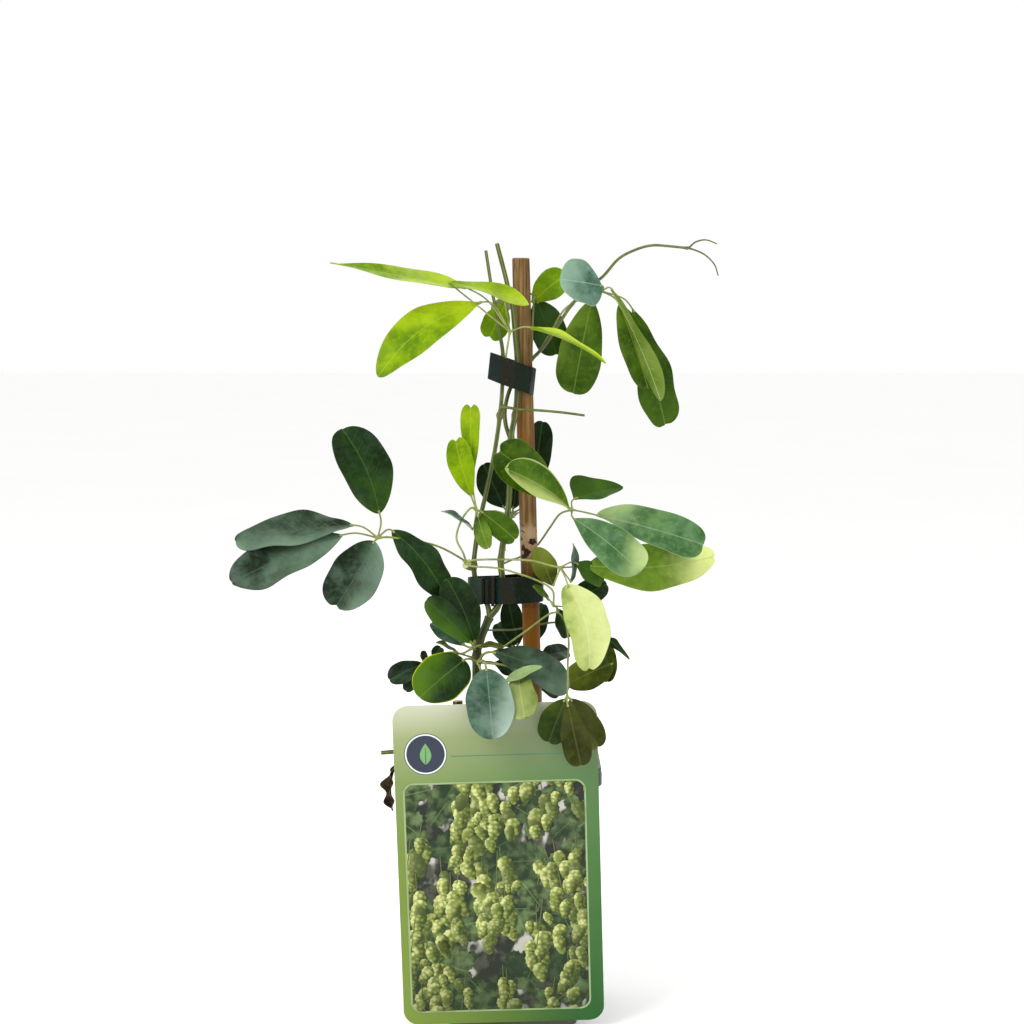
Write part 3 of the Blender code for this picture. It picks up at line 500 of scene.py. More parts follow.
def stem_shape(points, start, end, joints):
    """One ribbed stem with swollen joints. Its far end is sawn off flat, with pale pith."""
    route = smooth_route(points, STEM_STEPS)
    count = len(route) - 1
    runs = [0.0]
    for a, b in zip(route, route[1:]):
        runs.append(runs[-1] + (b - a).length)
    radii, knots = [], []
    for i in range(count + 1):
        swell = 0.0
        for index, size in joints.items():
            swell += size * math.exp(-((runs[i] - runs[index * STEM_STEPS]) / JOINT_SPREAD) ** 2)
        uneven = 0.05 * noise.noise(route[i] / 4.0)
        radii.append((start + (end - start) * i / count) * (1 + swell + uneven))
        knots.append(min(1.0, swell * 2))
    tip = route[-1]
    along = (route[-1] - route[-2]).normalized()
    route[-1:] = [tip - along * 0.12, tip, tip - along * 0.02]
    radii[-1:] = [radii[-1], radii[-1] * 0.9, radii[-1] * 0.45]
    knots[-1:] = [0.0, 0.0, 0.0]
    shape_points, faces, ribs = tube(route, radii, STEM_SIDES, STEM_RIBS, STEM_RIB_DEPTH, STEM_TWIST)
    cut = [0.0] * STEM_SIDES * (len(route) - 2) + [1.0] * STEM_SIDES * 2
    knot = [value for value in knots for _ in range(STEM_SIDES)]
    return shape_points, faces, {"rib": ribs, "cut": cut, "joint": knot}, 0


def stem_bark(name, base, light, shade, rough):
    """Stem bark: a painted highlight along each rib crest, blotches, and brown rings at the joints."""
    made, tree = start_material(name)
    blotch = grain(tree, 5, 3, (1, 1, 0.4))
    fibre = grain(tree, 0.7, 2, (1, 1, 0.08))
    rib, joint, cut = (
        node(tree, "Attribute", out="Fac", attribute_name=key) for key in ("rib", "joint", "cut"))
    tone = layered(tree, base, ((blotch, 0.35, 0.65), 1, shade),
                   # painted highlight: the rib crests are lighter than the grooves between them
                   ((rib, 0.1, 1.0), 1, light),
                   ((fibre, 0.5, 0.75), 0.4, shade),
                   (joint, 0.5, "#6E6234"), (cut, 1, "#B9BE8C"))
    skin = node(tree, "BsdfPrincipled", Base_Color=tone, Roughness=rough, Specular_IOR_Level=0.3,
                Normal=node(tree, "Bump", Height=fibre, Distance=0.12 * MM))
    node(tree, "OutputMaterial", skin)
    return made


# Stem bark: a smooth waxy green skin on the young stems, darker and browner with age, and brown cork on
# the dead stub. The ribs are 1 to 2 mm apart; their crests are painted lighter, thin painted highlights.
barks = {
    "green": stem_bark("green_stem_bark", "#566228", "#8A9250", "#38441A", 0.42),
    "dark": stem_bark("aged_stem_bark", "#343E18", "#5C6632", "#1E260E", 0.48),
    "wood": stem_bark("dead_stem_cork", "#8A6848", "#B48D66", "#4F3826", 0.85),
}
for stem_name, (start, end, joints, bark, stem_points) in STEMS.items():
    shape = stem_shape(stem_points, start, end, joints)
    make_piece(stem_name + "_bark", [shape], [barks[bark]], [stem_name], 60)

# ---------------------------------------------------------------------------------------------
# Clips: two bands of dark green polypropylene that tie the stems to the cane, moulded flat and bent
# round, with crisp folds between flat faces. The lower one shows its latch with two ridges.
# ---------------------------------------------------------------------------------------------
CLIP_WALL = 0.9
CLIP_HEIGHT = 13.3
CLIP_EDGE = 0.22
UPPER_CLIP_CENTRE = (0.0, 0.0, 322.0)
UPPER_CLIP_TURN = 6.0
UPPER_CLIP_SLOPE = 14.0
UPPER_CLIP_OUTLINE = (
    (-11.6, -1.0), (-5.4, -8.2), (1.0, -7.8), (9.2, -1.6), (11.4, 5.0), (11.0, 11.2), (8.0, 16.4),
    (0.0, 16.4), (-7.5, 8.5),
)
LOWER_CLIP_CENTRE = (0.0, 0.0, 214.2)
LOWER_CLIP_OUTLINE = (
    (-21.8, -4.6), (-20.8, -8.6), (-15.4, -9.4), (-14.4, -7.4), (-8.2, -7.2), (-6.6, -8.6),
    (1.5, -8.0), (10.0, -2.4), (15.0, 2.2), (15.6, 7.6), (12.0, 12.2), (6.0, 12.0), (-8.0, 2.0),
    (-18.0, -0.6),
)
LATCH_BARS = ((-12.6, 12.0), (-9.6, 15.2))
LATCH_DEPTH = -8.2


def soft_outline(points, share, steps):
    """The outline with each corner cut by a short curve."""
    made = []
    for i, point in enumerate(points):
        here = Vector(point)
        before, after = Vector(points[i - 1]), Vector(points[(i + 1) % len(points)])
        start, end = here.lerp(before, share), here.lerp(after, share)
        for k in range(steps + 1):
            t = k / steps
            made.append((1 - t) ** 2 * start + 2 * t * (1 - t) * here + t**2 * end)
    return made


def band(outline, share, place):
    """A closed band with softened edges, standing on its edge round an outline."""
    points = soft_outline(outline, share, 4)
    half_wall, half = CLIP_WALL / 2, CLIP_HEIGHT / 2
    soft = CLIP_EDGE
    section = [(half_wall, -half + soft), (half_wall, half - soft), (half_wall - soft, half)]
    section += [(soft - half_wall, half), (-half_wall, half - soft), (-half_wall, -half + soft)]
    section += [(soft - half_wall, -half), (half_wall - soft, -half)]
    rings = []
    for i, point in enumerate(points):
        along = (points[(i + 1) % len(points)] - points[i - 1]).normalized()
        out = Vector((along.y, -along.x))
        rings.append([place(*(point + out * wide), tall) for wide, tall in section])
    facets = [point.x for point in points for _ in section]
    return (*loft(rings, closed=True), {"facet": facets}, 0)


def soft_box(centre, size, soft, place):
    """A box with softened upright edges."""
    hx, hy, hz = (s / 2 for s in size)
    plan = [(hx - soft, -hy), (hx, -hy + soft), (hx, hy - soft), (hx - soft, hy)]
    plan += [(soft - hx, hy), (-hx, hy - soft), (-hx, -hy + soft), (soft - hx, -hy)]
    levels = ((-hz, 0.85), (-hz + soft, 1.0), (hz - soft, 1.0), (hz, 0.85))
    cx, cy, cz = centre
    rings = [[place(cx + x * s, cy + y * s, cz + z) for x, y in plan] for z, s in levels]
    return (*loft(rings), {}, 0)


def upper_place(x, y, z):
    """Puts a point of the flat clip on the tilted upper clip."""
    z -= x * math.tan(math.radians(UPPER_CLIP_SLOPE))
    turned = Matrix.Rotation(math.radians(UPPER_CLIP_TURN), 3, "Y") @ Vector((x, y, z))
    return tuple(turned + Vector(UPPER_CLIP_CENTRE))


def lower_place(x, y, z):
    """Puts a point of the flat clip on the level lower clip."""
    return tuple(Vector((x, y, z)) + Vector(LOWER_CLIP_CENTRE))


# Dark green polypropylene: satin, with faint flow lines along the band and dust in the fine grain. Its
# flat faces carry painted light and shade that change at the folds: a pale painted sheen at the left
# end, and brownish and greener painted tones in the middle.
clip_plastic, tree = start_material("dark_green_polypropylene")
flow = grain(tree, 3.0, 2, (0.3, 0.3, 1))
facet = node(tree, "Attribute", out="Fac", attribute_name="facet")
# painted light and shade on the flat faces, each tone from where a fold starts to where it is full
painted_facet_light = ((-6.2, -5.0, "#1C1C13"), (0.4, 1.6, "#0B190F"), (-14.5, -16.0, "#2A362C"))
tone = layered(
    tree, "#04150F", (flow, 1, "#0C211B"),
    *(((facet, before, after), 1, code) for before, after, code in painted_facet_light),
    ((grain(tree, 1.1, 3), 0.6, 0.75), 0.15, "#6C736C"))
skin = node(tree, "BsdfPrincipled", Base_Color=tone, Specular_IOR_Level=0.12,
            Roughness=node(tree, "Math", flow, 0.16, 0.34, **TIMES_PLUS),
            Normal=node(tree, "Bump", Height=grain(tree, 0.5, 1), Distance=0.02 * MM))
node(tree, "OutputMaterial", skin)

make_piece("upper_clip_band", [band(UPPER_CLIP_OUTLINE, 0.08, upper_place)], [clip_plastic],
           ["clip_upper"], 25)
lower_shapes = [band(LOWER_CLIP_OUTLINE, 0.16, lower_place)]
for across, tall in LATCH_BARS:
    lower_shapes.append(soft_box((across, LATCH_DEPTH, 0), (1.7, 2.2, tall), 0.25, lower_place))
for i in range(3):
    lower_shapes.append(
        soft_box((-11.1, LATCH_DEPTH + 0.45, -3.6 + 3.6 * i), (2.6, 1.5, 0.9), 0.2, lower_place),
    )
lower_shapes.append(soft_box((-14.2, LATCH_DEPTH + 0.3, 0), (0.8, 1.8, 10.5), 0.2, lower_place))
make_piece("lower_clip_band", lower_shapes, [clip_plastic], ["clip_lower"], 25)


# ---------------------------------------------------------------------------------------------
# Leaves: each leaf has one wiry petiole that ends in a hub, and up to five leaflets on short stalks.
# A leaflet is a leathery oval blade with a small notch at its tip. Young blades are soft and bright;
# old ones are dark above with blue-grey patches of painted sheen, and paler below.
# ---------------------------------------------------------------------------------------------
BLADE_THICK = 0.34
BLADE_ROWS = 44
BLADE_COLUMNS = 20
BLADE_NARROWEST = 0.3
VEIN_SPACING = 5.2
VEIN_SLANT = 0.75
VEIN_QUILT = 0.06
MIDRIB_HALF = 0.32
MIDRIB_GROOVE = 0.22
MIDRIB_KEEL = 0.36
PETIOLE_SIDES = 10
PETIOLE_STEPS = 7
PAD_SPREADS = (1.6, 1.3)
INTO_BLADE = 1.6


def leaf_blade_finish(name, face, dark, light, lit, rib, rim, under, rough, through,
                      painted_sheen="#8FA598", painted_sheen_share=0.0, rim_start=0.965):
    """A leaf blade: mottled upper face, midrib and side veins, a thin rim, and a paler underside."""
    made, tree = start_material(name)
    off_rib, across, along, shade, sunlit, under_side = (
        node(tree, "Attribute", out="Fac", attribute_name=key)
        for key in ("off_rib", "across", "along_mm", "shade", "sunlit", "under"))
    from_rib, edge = (node(tree, "Math", mark, operation="ABSOLUTE") for mark in (off_rib, across))
    broad = grain(tree, 14, 3)
    mottle = grain(tree, 2.6, 4, rough=0.6)
    patches = node(tree, "MapRange", broad, 0.36, 0.64, **SMOOTH)
    # where the sun falls on the blade the colour changes slowly, broken up by broad patches
    uneven = node(tree, "Math", broad, 0.5, operation="SUBTRACT")
    uneven_sun = node(tree, "Math", uneven, 0.6, sunlit, **TIMES_PLUS)
    # side veins leave the midrib 5.2 mm apart and run out and forward
    slanted = node(tree, "Math", from_rib, -VEIN_SLANT, along, **TIMES_PLUS)
    bent = node(tree, "Math", grain(tree, 7, 1), 2.4, slanted, **TIMES_PLUS)
    phase = node(tree, "Math", node(tree, "Math", bent, VEIN_SPACING, operation="DIVIDE"), operation="FRACT")
    gap = node(tree, "Math", node(tree, "Math", phase, 0.5, operation="SUBTRACT"), operation="ABSOLUTE")
    fading = node(tree, "MapRange", edge, 0.95, 0.35, **SMOOTH)
    vein = node(tree, "Math", node(tree, "MapRange", gap, 0.08, 0.0, **SMOOTH), fading, **TIMES)
    midrib = node(tree, "MapRange", from_rib, MIDRIB_HALF * 1.3, MIDRIB_HALF * 0.5, **SMOOTH)
    tone = layered(tree, dark, (patches, 1, face),
                   ((mottle, 0.45, 0.75), 0.5, light),
                   ((uneven_sun, 0.05, 0.95), 1, lit),
                   (shade, 1, dark), (vein, 0.1, rib))
    if painted_sheen_share:
        # painted sheen: blue-grey patches that stand for the sky reflected in the wax; and dried water
        # spots and scuffs under a millimetre across
        film = node(tree, "MapRange", grain(tree, 10, 4, rough=0.6), 0.42, 0.7, **SMOOTH)
        spots = node(tree, "MapRange", grain(tree, 1.1, 4, rough=0.75), 0.68, 0.74, **SMOOTH)
        tone = layered(tree, tone, (film, painted_sheen_share, painted_sheen), (spots, painted_sheen_share * 0.7, "#C4D0C4"))
    tone = layered(tree, tone, (midrib, 0.45, rib),
                   ((edge, rim_start, 1.0), 0.85, rim))
    net = node(tree, "Math", node(tree, "Math", vein, 0.3, **TIMES), midrib, operation="MAXIMUM")
    below = layered(tree, under, (patches, 0.4, light), (net, 0.7, rib))
    tone = node(tree, "Mix", under_side, tone, below, **COLOUR)
    height = node(tree, "Math", vein, -0.5, node(tree, "Math", mottle, 0.4, **TIMES),
                  **TIMES_PLUS)
    skin = node(tree, "BsdfPrincipled", Base_Color=tone, Specular_IOR_Level=0.11,
                Roughness=node(tree, "Math", mottle, 0.3, rough - 0.15, **TIMES_PLUS),
                Normal=node(tree, "Bump", Height=height, Distance=0.2 * MM))
    glow = node(tree, "BsdfTranslucent", node(tree, "Mix", 0.35, tone, linear("#9CC400"), **COLOUR))
    node(tree, "OutputMaterial", node(tree, "MixShader", through, skin, glow))
    return made


# Living leaf blades. The waxy cuticle gives a satin surface, and light that passes through the thin
# young blades makes them yellow-green. Blue-grey patches of painted sheen on old ones stand for the sky
# reflected in their wax. A row has the colours of the face, its dark and light mottling, painted sunlit
# places, ribs, rim and underside, then the roughness, the share of light let through, a painted sheen
# and its share, and where the rim starts.
BLADES = {
    "young": ("young_leaf_blade", "#86A800 #5E8200 #A2BC08 #BCD21E #A9C03A #98AA20 #8FAE18",
              0.5, 0.22),
    "pale": ("pale_leaf_blade", "#B0BE68 #8CA04C #C6D484 #DAE29C #D8E09C #A2AC60 #BCC974",
             0.52, 0.16),
    "sunlit": ("sunlit_leaf_blade", "#76962E #527020 #8EAC42 #E2EC94 #A9BC6E #A8B65C #9CB050",
               0.46, 0.14),
    "green": ("green_leaf_blade", "#41600A #294404 #5A7A12 #86A234 #7C9440 #5E7624 #7E9450",
              0.42, 0.12),
    "deep": ("deep_green_blade", "#18330A #0C1E04 #24450F #42680E #44622A #3B4A1C #58763E",
             0.4, 0.04, "#46604A", 0.16),
    "glossy": ("glossy_dark_blade", "#1A2F16 #0D1C0B #2B4426 #6E8870 #48604A #30281E #58744A",
               0.36, 0.02, "#627A6A", 0.36),
    "glaucous": ("glaucous_leaf_blade", "#547A48 #365C32 #6E9256 #AABF7A #8FA880 #8AA272 #86A26C",
                 0.44, 0.07, "#7E9C7A", 0.25),
    "waxy": ("waxy_leaf_blade", "#3E6650 #224434 #5C8169 #86A48E #9AB49C #A6BA98 #7A9878",
             0.44, 0.04, "#86A292", 0.45),
    "grey_green": ("grey_green_blade", "#3E5F48 #28422F #577660 #95A99A #7C9480 #5E7862 #73906A",
                   0.36, 0.04, "#8CA095", 0.26),
    "rimmed": ("yellow_rimmed_blade", "#1E3612 #122609 #2E4C1A #4C7008 #66843A #B6C80E #76923E",
               0.4, 0.08, "#465E48", 0.16, 0.93),
    "cupped": ("cupped_leaf_blade", "#4E7012 #365808 #6A8E26 #B8C872 #A0B660 #C8D484 #98B060",
               0.44, 0.14, "#8FA598", 0.0, 0.9),
    "underside": ("pale_underside", "#76863A #586A24 #8E9C4C #A0B06C #B0BE80 #7C8C44 #5C7824",
                  0.55, 0.12),
    "olive": ("olive_leaf_blade", "#3E4A08 #2A3404 #545F14 #7A862A #6E7A34 #50541C #7E8644",
              0.44, 0.08),
    "deep_olive": ("deep_olive_blade", "#233806 #162604 #334A0E #4C5A16 #4E5E26 #4A4018 #64743A",
                   0.44, 0.04),
    "bronzed": ("bronzed_leaf_blade", "#343C08 #242A04 #44480E #5A5A28 #5E6030 #40341A #74724A",
                0.44, 0.04, "#605E40", 0.14),
}
FINISHES = {}
for key, (name, codes, *rest) in BLADES.items():
    FINISHES[key] = leaf_blade_finish(name, *codes.split(), *rest)

# Petiole skin: the same smooth green skin as the young stems, paler, yellow where the sun reaches it.
petiole_skin, tree = start_material("petiole_skin")
shade_mark, pad_mark = (node(tree, "Attribute", out="Fac", attribute_name=key) for key in ("shade", "pad"))
tone = layered(tree, "#989E5C", ((grain(tree, 6, 2), 0.35, 0.65), 1, "#7C863E"),
               (shade_mark, 1, "#414F1E"), (pad_mark, 1, "#8E9A4A"))
bump = node(tree, "Bump", Height=grain(tree, 0.6, 2, (1, 1, 0.3)), Distance=0.06 * MM)
skin = node(tree, "BsdfPrincipled", Base_Color=tone, Roughness=0.42, Normal=bump, Specular_IOR_Level=0.35)
node(tree, "OutputMaterial", skin)


def smooth_step(x):
    """Rises smoothly from 0 to 1 as x does."""
    x = np.clip(x, 0, 1)
    return x * x * (3 - 2 * x)


def outline(t, widest, foot, end):
    """Half the width of a blade, from 0 to 1, at a share t of its length: a higher foot makes its base
    narrower, and its end goes from pointed at 1 to square at 3."""
    rising = np.sin(np.pi / 2 * np.clip(t / widest, 0, 1)) ** foot
    beyond = np.clip((t - widest) / (1 - widest), 0, 1)
    return np.where(t < widest, rising, (1 - beyond**end) ** (1 / end))


def leaflet(base, tip, width, face, finish, arch=0.05, fold=8, widest=0.5, foot=0.8, end=2.2, notch=0.5,
            notch_wide=1.2, lean=0.0, sway=0.0, twist=0.0, wave=0.5, waves=1.6, phase=0.0, ripple=0.02,
            cup=0.0, curl=0.0, shade=0.0, sunlit=(0.0, 0.0, 0.0)):
    """One leaflet. base, tip and width are in mm, and face is the way its upper side looks. arch, sway and
    curl bend its midrib, as shares of its length; fold is the angle of each half in degrees, and twist
    that of the tip. notch, wave and cup are in mm. widest and foot may differ on the two sides, and lean
    makes one side wider. sunlit is its middle value, and how it grows across and along the blade."""
    base, tip = np.array(base, float), np.array(tip, float)
    length = np.linalg.norm(tip - base)
    along = (tip - base) / length
    up = np.array(face, float)
    up -= along * up.dot(along)
    up /= np.linalg.norm(up)
    side = np.cross(along, up)
    even = np.linspace(0, 1, BLADE_ROWS + 1)
    stations = 0.15 * even + 0.85 * (0.5 - 0.5 * np.cos(np.pi * even))
    t = stations[:, None] * np.ones((1, BLADE_COLUMNS + 1))
    a = np.linspace(-1, 1, BLADE_COLUMNS + 1)[None, :] * np.ones((BLADE_ROWS + 1, 1))
    left, right = (outline(t, *pair, end) for pair in zip(*(
        value if isinstance(value, tuple) else (value, value) for value in (widest, foot))))
    half = width / 2 * np.where(a < 0, left, right)
    half = half * (1 + ripple * np.sin(math.tau * (2.3 * t + phase) + 1.7 * np.sign(a)))
    half = np.sqrt(half**2 + BLADE_NARROWEST**2) * (1 + lean * a)
    off = a * half
    dent = notch * np.exp(-((off / notch_wide) ** 2)) * smooth_step((t - 0.8) / 0.2)
    place = t * length - dent
    share = place / length
    rise = half * math.sin(math.radians(fold)) * (np.sqrt(a**2 + 0.012) - 0.11)
    rise += arch * length * 4 * share * (1 - share) + curl * length * share**3
    swing = np.sin(math.tau * (waves * t + phase) + 1.1 * np.sign(a))
    rise += wave * np.abs(a) ** 1.6 * swing * smooth_step(t * 5)
    rise += cup * a**2 * smooth_step(t * 3)
    quilt = np.cos(math.tau * (place - VEIN_SLANT * np.abs(off)) / VEIN_SPACING)
    rise += VEIN_QUILT * quilt * np.abs(a) * (1 - a**2)
    groove = np.exp(-((off / (2 * MIDRIB_HALF)) ** 2)) * (1 - 0.75 * t)
    rise -= MIDRIB_GROOVE * groove
    flat = off * math.cos(math.radians(fold))
    turn = np.radians(twist) * (t - 0.35)
    across = flat * np.cos(turn) - rise * np.sin(turn) + sway * length * np.sin(np.pi * share)
    raised = rise * np.cos(turn) + flat * np.sin(turn)
    top = base + place[..., None] * along + across[..., None] * side + raised[..., None] * up
    normal = np.cross(np.gradient(top, axis=0), np.gradient(top, axis=1))
    normal = normal / np.maximum(np.linalg.norm(normal, axis=2, keepdims=True), 1e-9)
    if normal.reshape(-1, 3).mean(0).dot(up) < 0:
        normal = -normal
    soft_edge = np.clip((1 - np.abs(a)) * 6, 0.35, 1)[..., None]
    rib_depth = MIDRIB_KEEL * (groove * np.clip(1 - t, 0.05, 1))[..., None]
    bottom = top - normal * (BLADE_THICK * soft_edge + rib_depth)
    columns, count = BLADE_COLUMNS + 1, (BLADE_ROWS + 1) * (BLADE_COLUMNS + 1)
    faces = []
    for i in range(BLADE_ROWS):
        for k in range(BLADE_COLUMNS):
            q = i * columns + k
            faces.append((q, q + 1, q + columns + 1, q + columns))
            faces.append((count + q, count + q + columns, count + q + columns + 1, count + q + 1))
    border = list(range(columns))
    border += [i * columns + BLADE_COLUMNS for i in range(1, BLADE_ROWS + 1)]
    border += [BLADE_ROWS * columns + k for k in range(BLADE_COLUMNS - 1, -1, -1)]
    border += [i * columns for i in range(BLADE_ROWS - 1, 0, -1)]
    for q, r in zip(border, border[1:] + border[:1]):
        faces.append((q, count + q, count + r, r))
    middle, grows_across, grows_along = sunlit
    sun = np.clip(middle + grows_across * a + grows_along * (2 * t - 1), 0, 1)
    marks = {"off_rib": a * half, "along_mm": place, "across": a, "sunlit": sun, "shade": 0 * a + shade}
    marks = {key: np.concatenate([values.ravel(), values.ravel()]).tolist() for key, values in marks.items()}
    marks["under"] = [0.0] * count + [1.0] * count
    points = np.concatenate([top.reshape(-1, 3), bottom.reshape(-1, 3)]).tolist()
    return points, faces, marks, finish, base, along


def stalk(points, thin, thick, shade):
    """A petiole or a leaflet's stalk: a thin tube, with a swollen pad at each end."""
    route = smooth_route(points, PETIOLE_STEPS)
    run = [0.0]
    for a, b in zip(route, route[1:]):
        run.append(run[-1] + (b - a).length)
    radii, pads = [], []
    for r in run:
        pad = sum(math.exp(-((gap / wide) ** 2)) for gap, wide in zip((r, run[-1] - r), PAD_SPREADS))
        radii.append(thin + (thick - thin) * min(1, pad))
        pads.append(min(1.0, pad * 0.6))
    tube_points, faces, _ = tube(route, radii, PETIOLE_SIDES)
    marks = {"pad": [p for p in pads for _ in range(PETIOLE_SIDES)], "shade": [shade] * len(tube_points)}
    return tube_points, faces, marks, "petiole"


def leaf(name, petiole, leaflets, shade=0.2, thin=0.52, thick=0.9):
    """A whole leaf: the petiole, a stalk from its hub into each leaflet's base, and the blades."""
    shapes = [stalk(petiole, thin, thick, shade)]
    hub = Vector(petiole[-1])
    for _, _, _, _, base, along in leaflets:
        foot, way = Vector(base), Vector(along)
        reach = (foot - hub).length
        middle = hub.lerp(foot, 0.5)
        route = [hub, middle, foot]
        if (foot - hub).dot(way) > 0:
            if reach > 3:
                route[1] = middle.lerp(foot - way * reach * 0.35, 0.5)
            route.append(foot + way * INTO_BLADE)
        shapes.append(stalk(route, thin * 0.8, thick * 0.75, shade))
    shapes += [blade[:4] for blade in leaflets]
    used = ["petiole"] + sorted({blade[3] for blade in leaflets})
    finishes = [petiole_skin if key == "petiole" else FINISHES[key] for key in used]
    numbered = [(points, faces, marks, used.index(key)) for points, faces, marks, key in shapes]
    make_piece(name + "_blades", numbered, finishes, [name], 70)


# The upper leaves: a bright young one over the clip to the left, one behind the cane, and an older one
# at the right, with a rounded waxy leaflet, three long hanging ones and a twisted one.
leaf("leaf_top_left", ((-3.5, -3.5, 323), (-3, -5.8, 330.5), (-2, -8, 337), (-1, -10, 343)), (
    leaflet((-22.5, -14, 364.5), (-88, -26, 376.5), 19, (0.1, -0.4, 0.9), "young", 0.0, 8,
            widest=0.3, end=1.2, notch=0, wave=0.7, lean=0.1, sunlit=(0.3, 0, -0.4)),
    leaflet((-15, -14, 357.5), (-65, -30, 321.5), 24, (-0.2, -0.8, 0.55), "young", 0.04, 8,
            widest=0.45, foot=1.1, end=2.0, notch=0.2, sway=0.09, ripple=0.03, wave=0.9,
            sunlit=(0.25, 0.2, -0.5)),
    leaflet((-31, -19, 367), (8.5, -16, 356.5), 16, (0, -0.44, 0.9), "young", 0.04, 8,
            widest=0.7, foot=0.7, end=1.7, notch=0.1, wave=0.8, waves=1.2, phase=0.6, sunlit=(0.35, 0, 0.2)),
    leaflet((9.5, -13, 345), (45.5, -28, 328), 15, (0.35, -0.15, 0.92), "young", 0.05, 16,
            widest=0.3, foot=0.5, end=1.25, notch=0, sunlit=(0.2, -0.9, 0)),
    leaflet((-3.5, 4.5, 357), (-11.5, 6.5, 339), 14, (0, -1, 0), "young", 0.04, 6,
            widest=0.58, end=2.4, notch=1.5, notch_wide=1.6, shade=0.35),
), 0.0, 0.5)
leaf("leaf_top_back",
     ((10, 12.2, 328), (10, 13.6, 336), (10.5, 14.5, 348), (11, 14.5, 360.5)), (
    leaflet((10, 16, 357.5), (27.5, 23, 372), 16, (-0.2, -0.95, 0.2), "young",
            widest=0.6, end=2.4, notch=0.8, shade=0.3),
    leaflet((12.5, 16.5, 358.5), (22.5, 23, 331), 18.5, (0.1, -1, 0.1), "deep", 0.05, 9,
            widest=0.5, foot=0.6, end=2.3, notch=0.3, sunlit=(0.3, 0, 0)),
    leaflet((8, 17, 362), (-8, 34, 350), 16, (-0.2, 0.3, 0.95), "olive", 0.1, 10),
), 0.4)
leaf("leaf_top_right",
     ((12.5, 12.5, 331), (19.5, 13.4, 342.5), (26, 13, 353.5), (35, 12, 359.5), (44.5, 5, 363)), (
    leaflet((45, 3, 365.5), (23.5, -4, 368.5), 24, (0, -0.95, 0.3), "waxy", 0.06, 6,
            widest=(0.3, 0.62), foot=(0.4, 1.1), end=2.1, notch=0, wave=0.9, waves=0.8, curl=0.04,
            sunlit=(0.4, 0, 0.4)),
    leaflet((40, 10, 358.5), (31, 18, 311.5), 22.5, (-0.2, -0.95, 0.1), "green", 0.04, 5,
            widest=0.62, foot=0.65, end=2.6, notch=0.2, wave=0.4, sunlit=(0.15, 0.25, -0.1)),
    leaflet((53.5, 6, 356.5), (68.5, 12, 314), 15.5, (0.1, -0.97, 0.2), "green", 0.06, 8,
            widest=0.55, foot=0.6, end=2.2, notch=0.4, sunlit=(0.1, 0.2, -0.1)),
    leaflet((60.5, 12, 354), (78, 23, 295), 19.5, (0.15, -0.97, 0.2), "green", 0.05, 6,
            widest=0.66, foot=0.8, end=2.9, notch=0.8, notch_wide=2.0, ripple=0.09, phase=0.35, shade=0.3),
    leaflet((49.5, 1, 364), (74.5, 3, 308.5), 15, (0.85, 0.42, 0.3), "underside", 0.03, 8,
            widest=0.76, foot=0.7, end=2.0, notch=0.3, wave=0.8, twist=20, sunlit=(0.1, 0, 0.2)),
), 0.3)

# The middle leaves: a dark glossy one far out to the left, a young and a dark one at the stems, and a
# large waxy one and a pale one that spread to the right.
leaf("leaf_left",
     ((-22.5, -9, 228), (-26.5, -10, 231.5), (-39, -14, 238), (-58.5, -19, 242), (-66, -20, 242)), (
    leaflet((-65, -20, 254), (-83.5, -16, 295.5), 24.5, (0.1, -1, 0.1), "deep", 0.03, 5,
            widest=0.5, foot=0.62, end=2.6, notch=0.2, sway=0.06, lean=0.04, sunlit=(0.1, 0, -0.3)),
    leaflet((-78, -22, 248.5), (-135, -30, 241.5), 24, (0, -0.6, 0.8), "glossy", 0.03, 6,
            widest=(0.72, 0.45), foot=0.75, end=1.9, notch=0.2, wave=1.5, waves=1.7, phase=0.25, ripple=0.07,
            sunlit=(0.35, -0.2, 0.1)),
    leaflet((-83, -26, 244), (-135.5, -44, 222.5), 25, (0, -0.75, 0.66), "glossy", 0.04, 6,
            widest=0.6, foot=0.75, end=2.2, notch=0.7, wave=1.6, waves=1.8, phase=0.6, ripple=0.08,
            sunlit=(0.3, -0.1, -0.2)),
    leaflet((-67.5, -22, 240.5), (-86, -36, 209.5), 25.5, (-0.1, -0.95, 0.3), "glossy", 0.04, 6,
            widest=0.52, foot=0.6, end=2.6, notch=1.5, notch_wide=1.4, sway=-0.03, sunlit=(0.25, -0.3, -0.1)),
    leaflet((-59, -18, 245.5), (-32.5, -19, 212.5), 16.5, (-0.2, -0.9, 0.4), "deep", 0.04, 8,
            widest=0.6, foot=0.6, end=2.3, notch=0.4, wave=1.2, waves=2.1, phase=0.4, ripple=0.08,
            sway=-0.06),
), 0.35, 0.55)
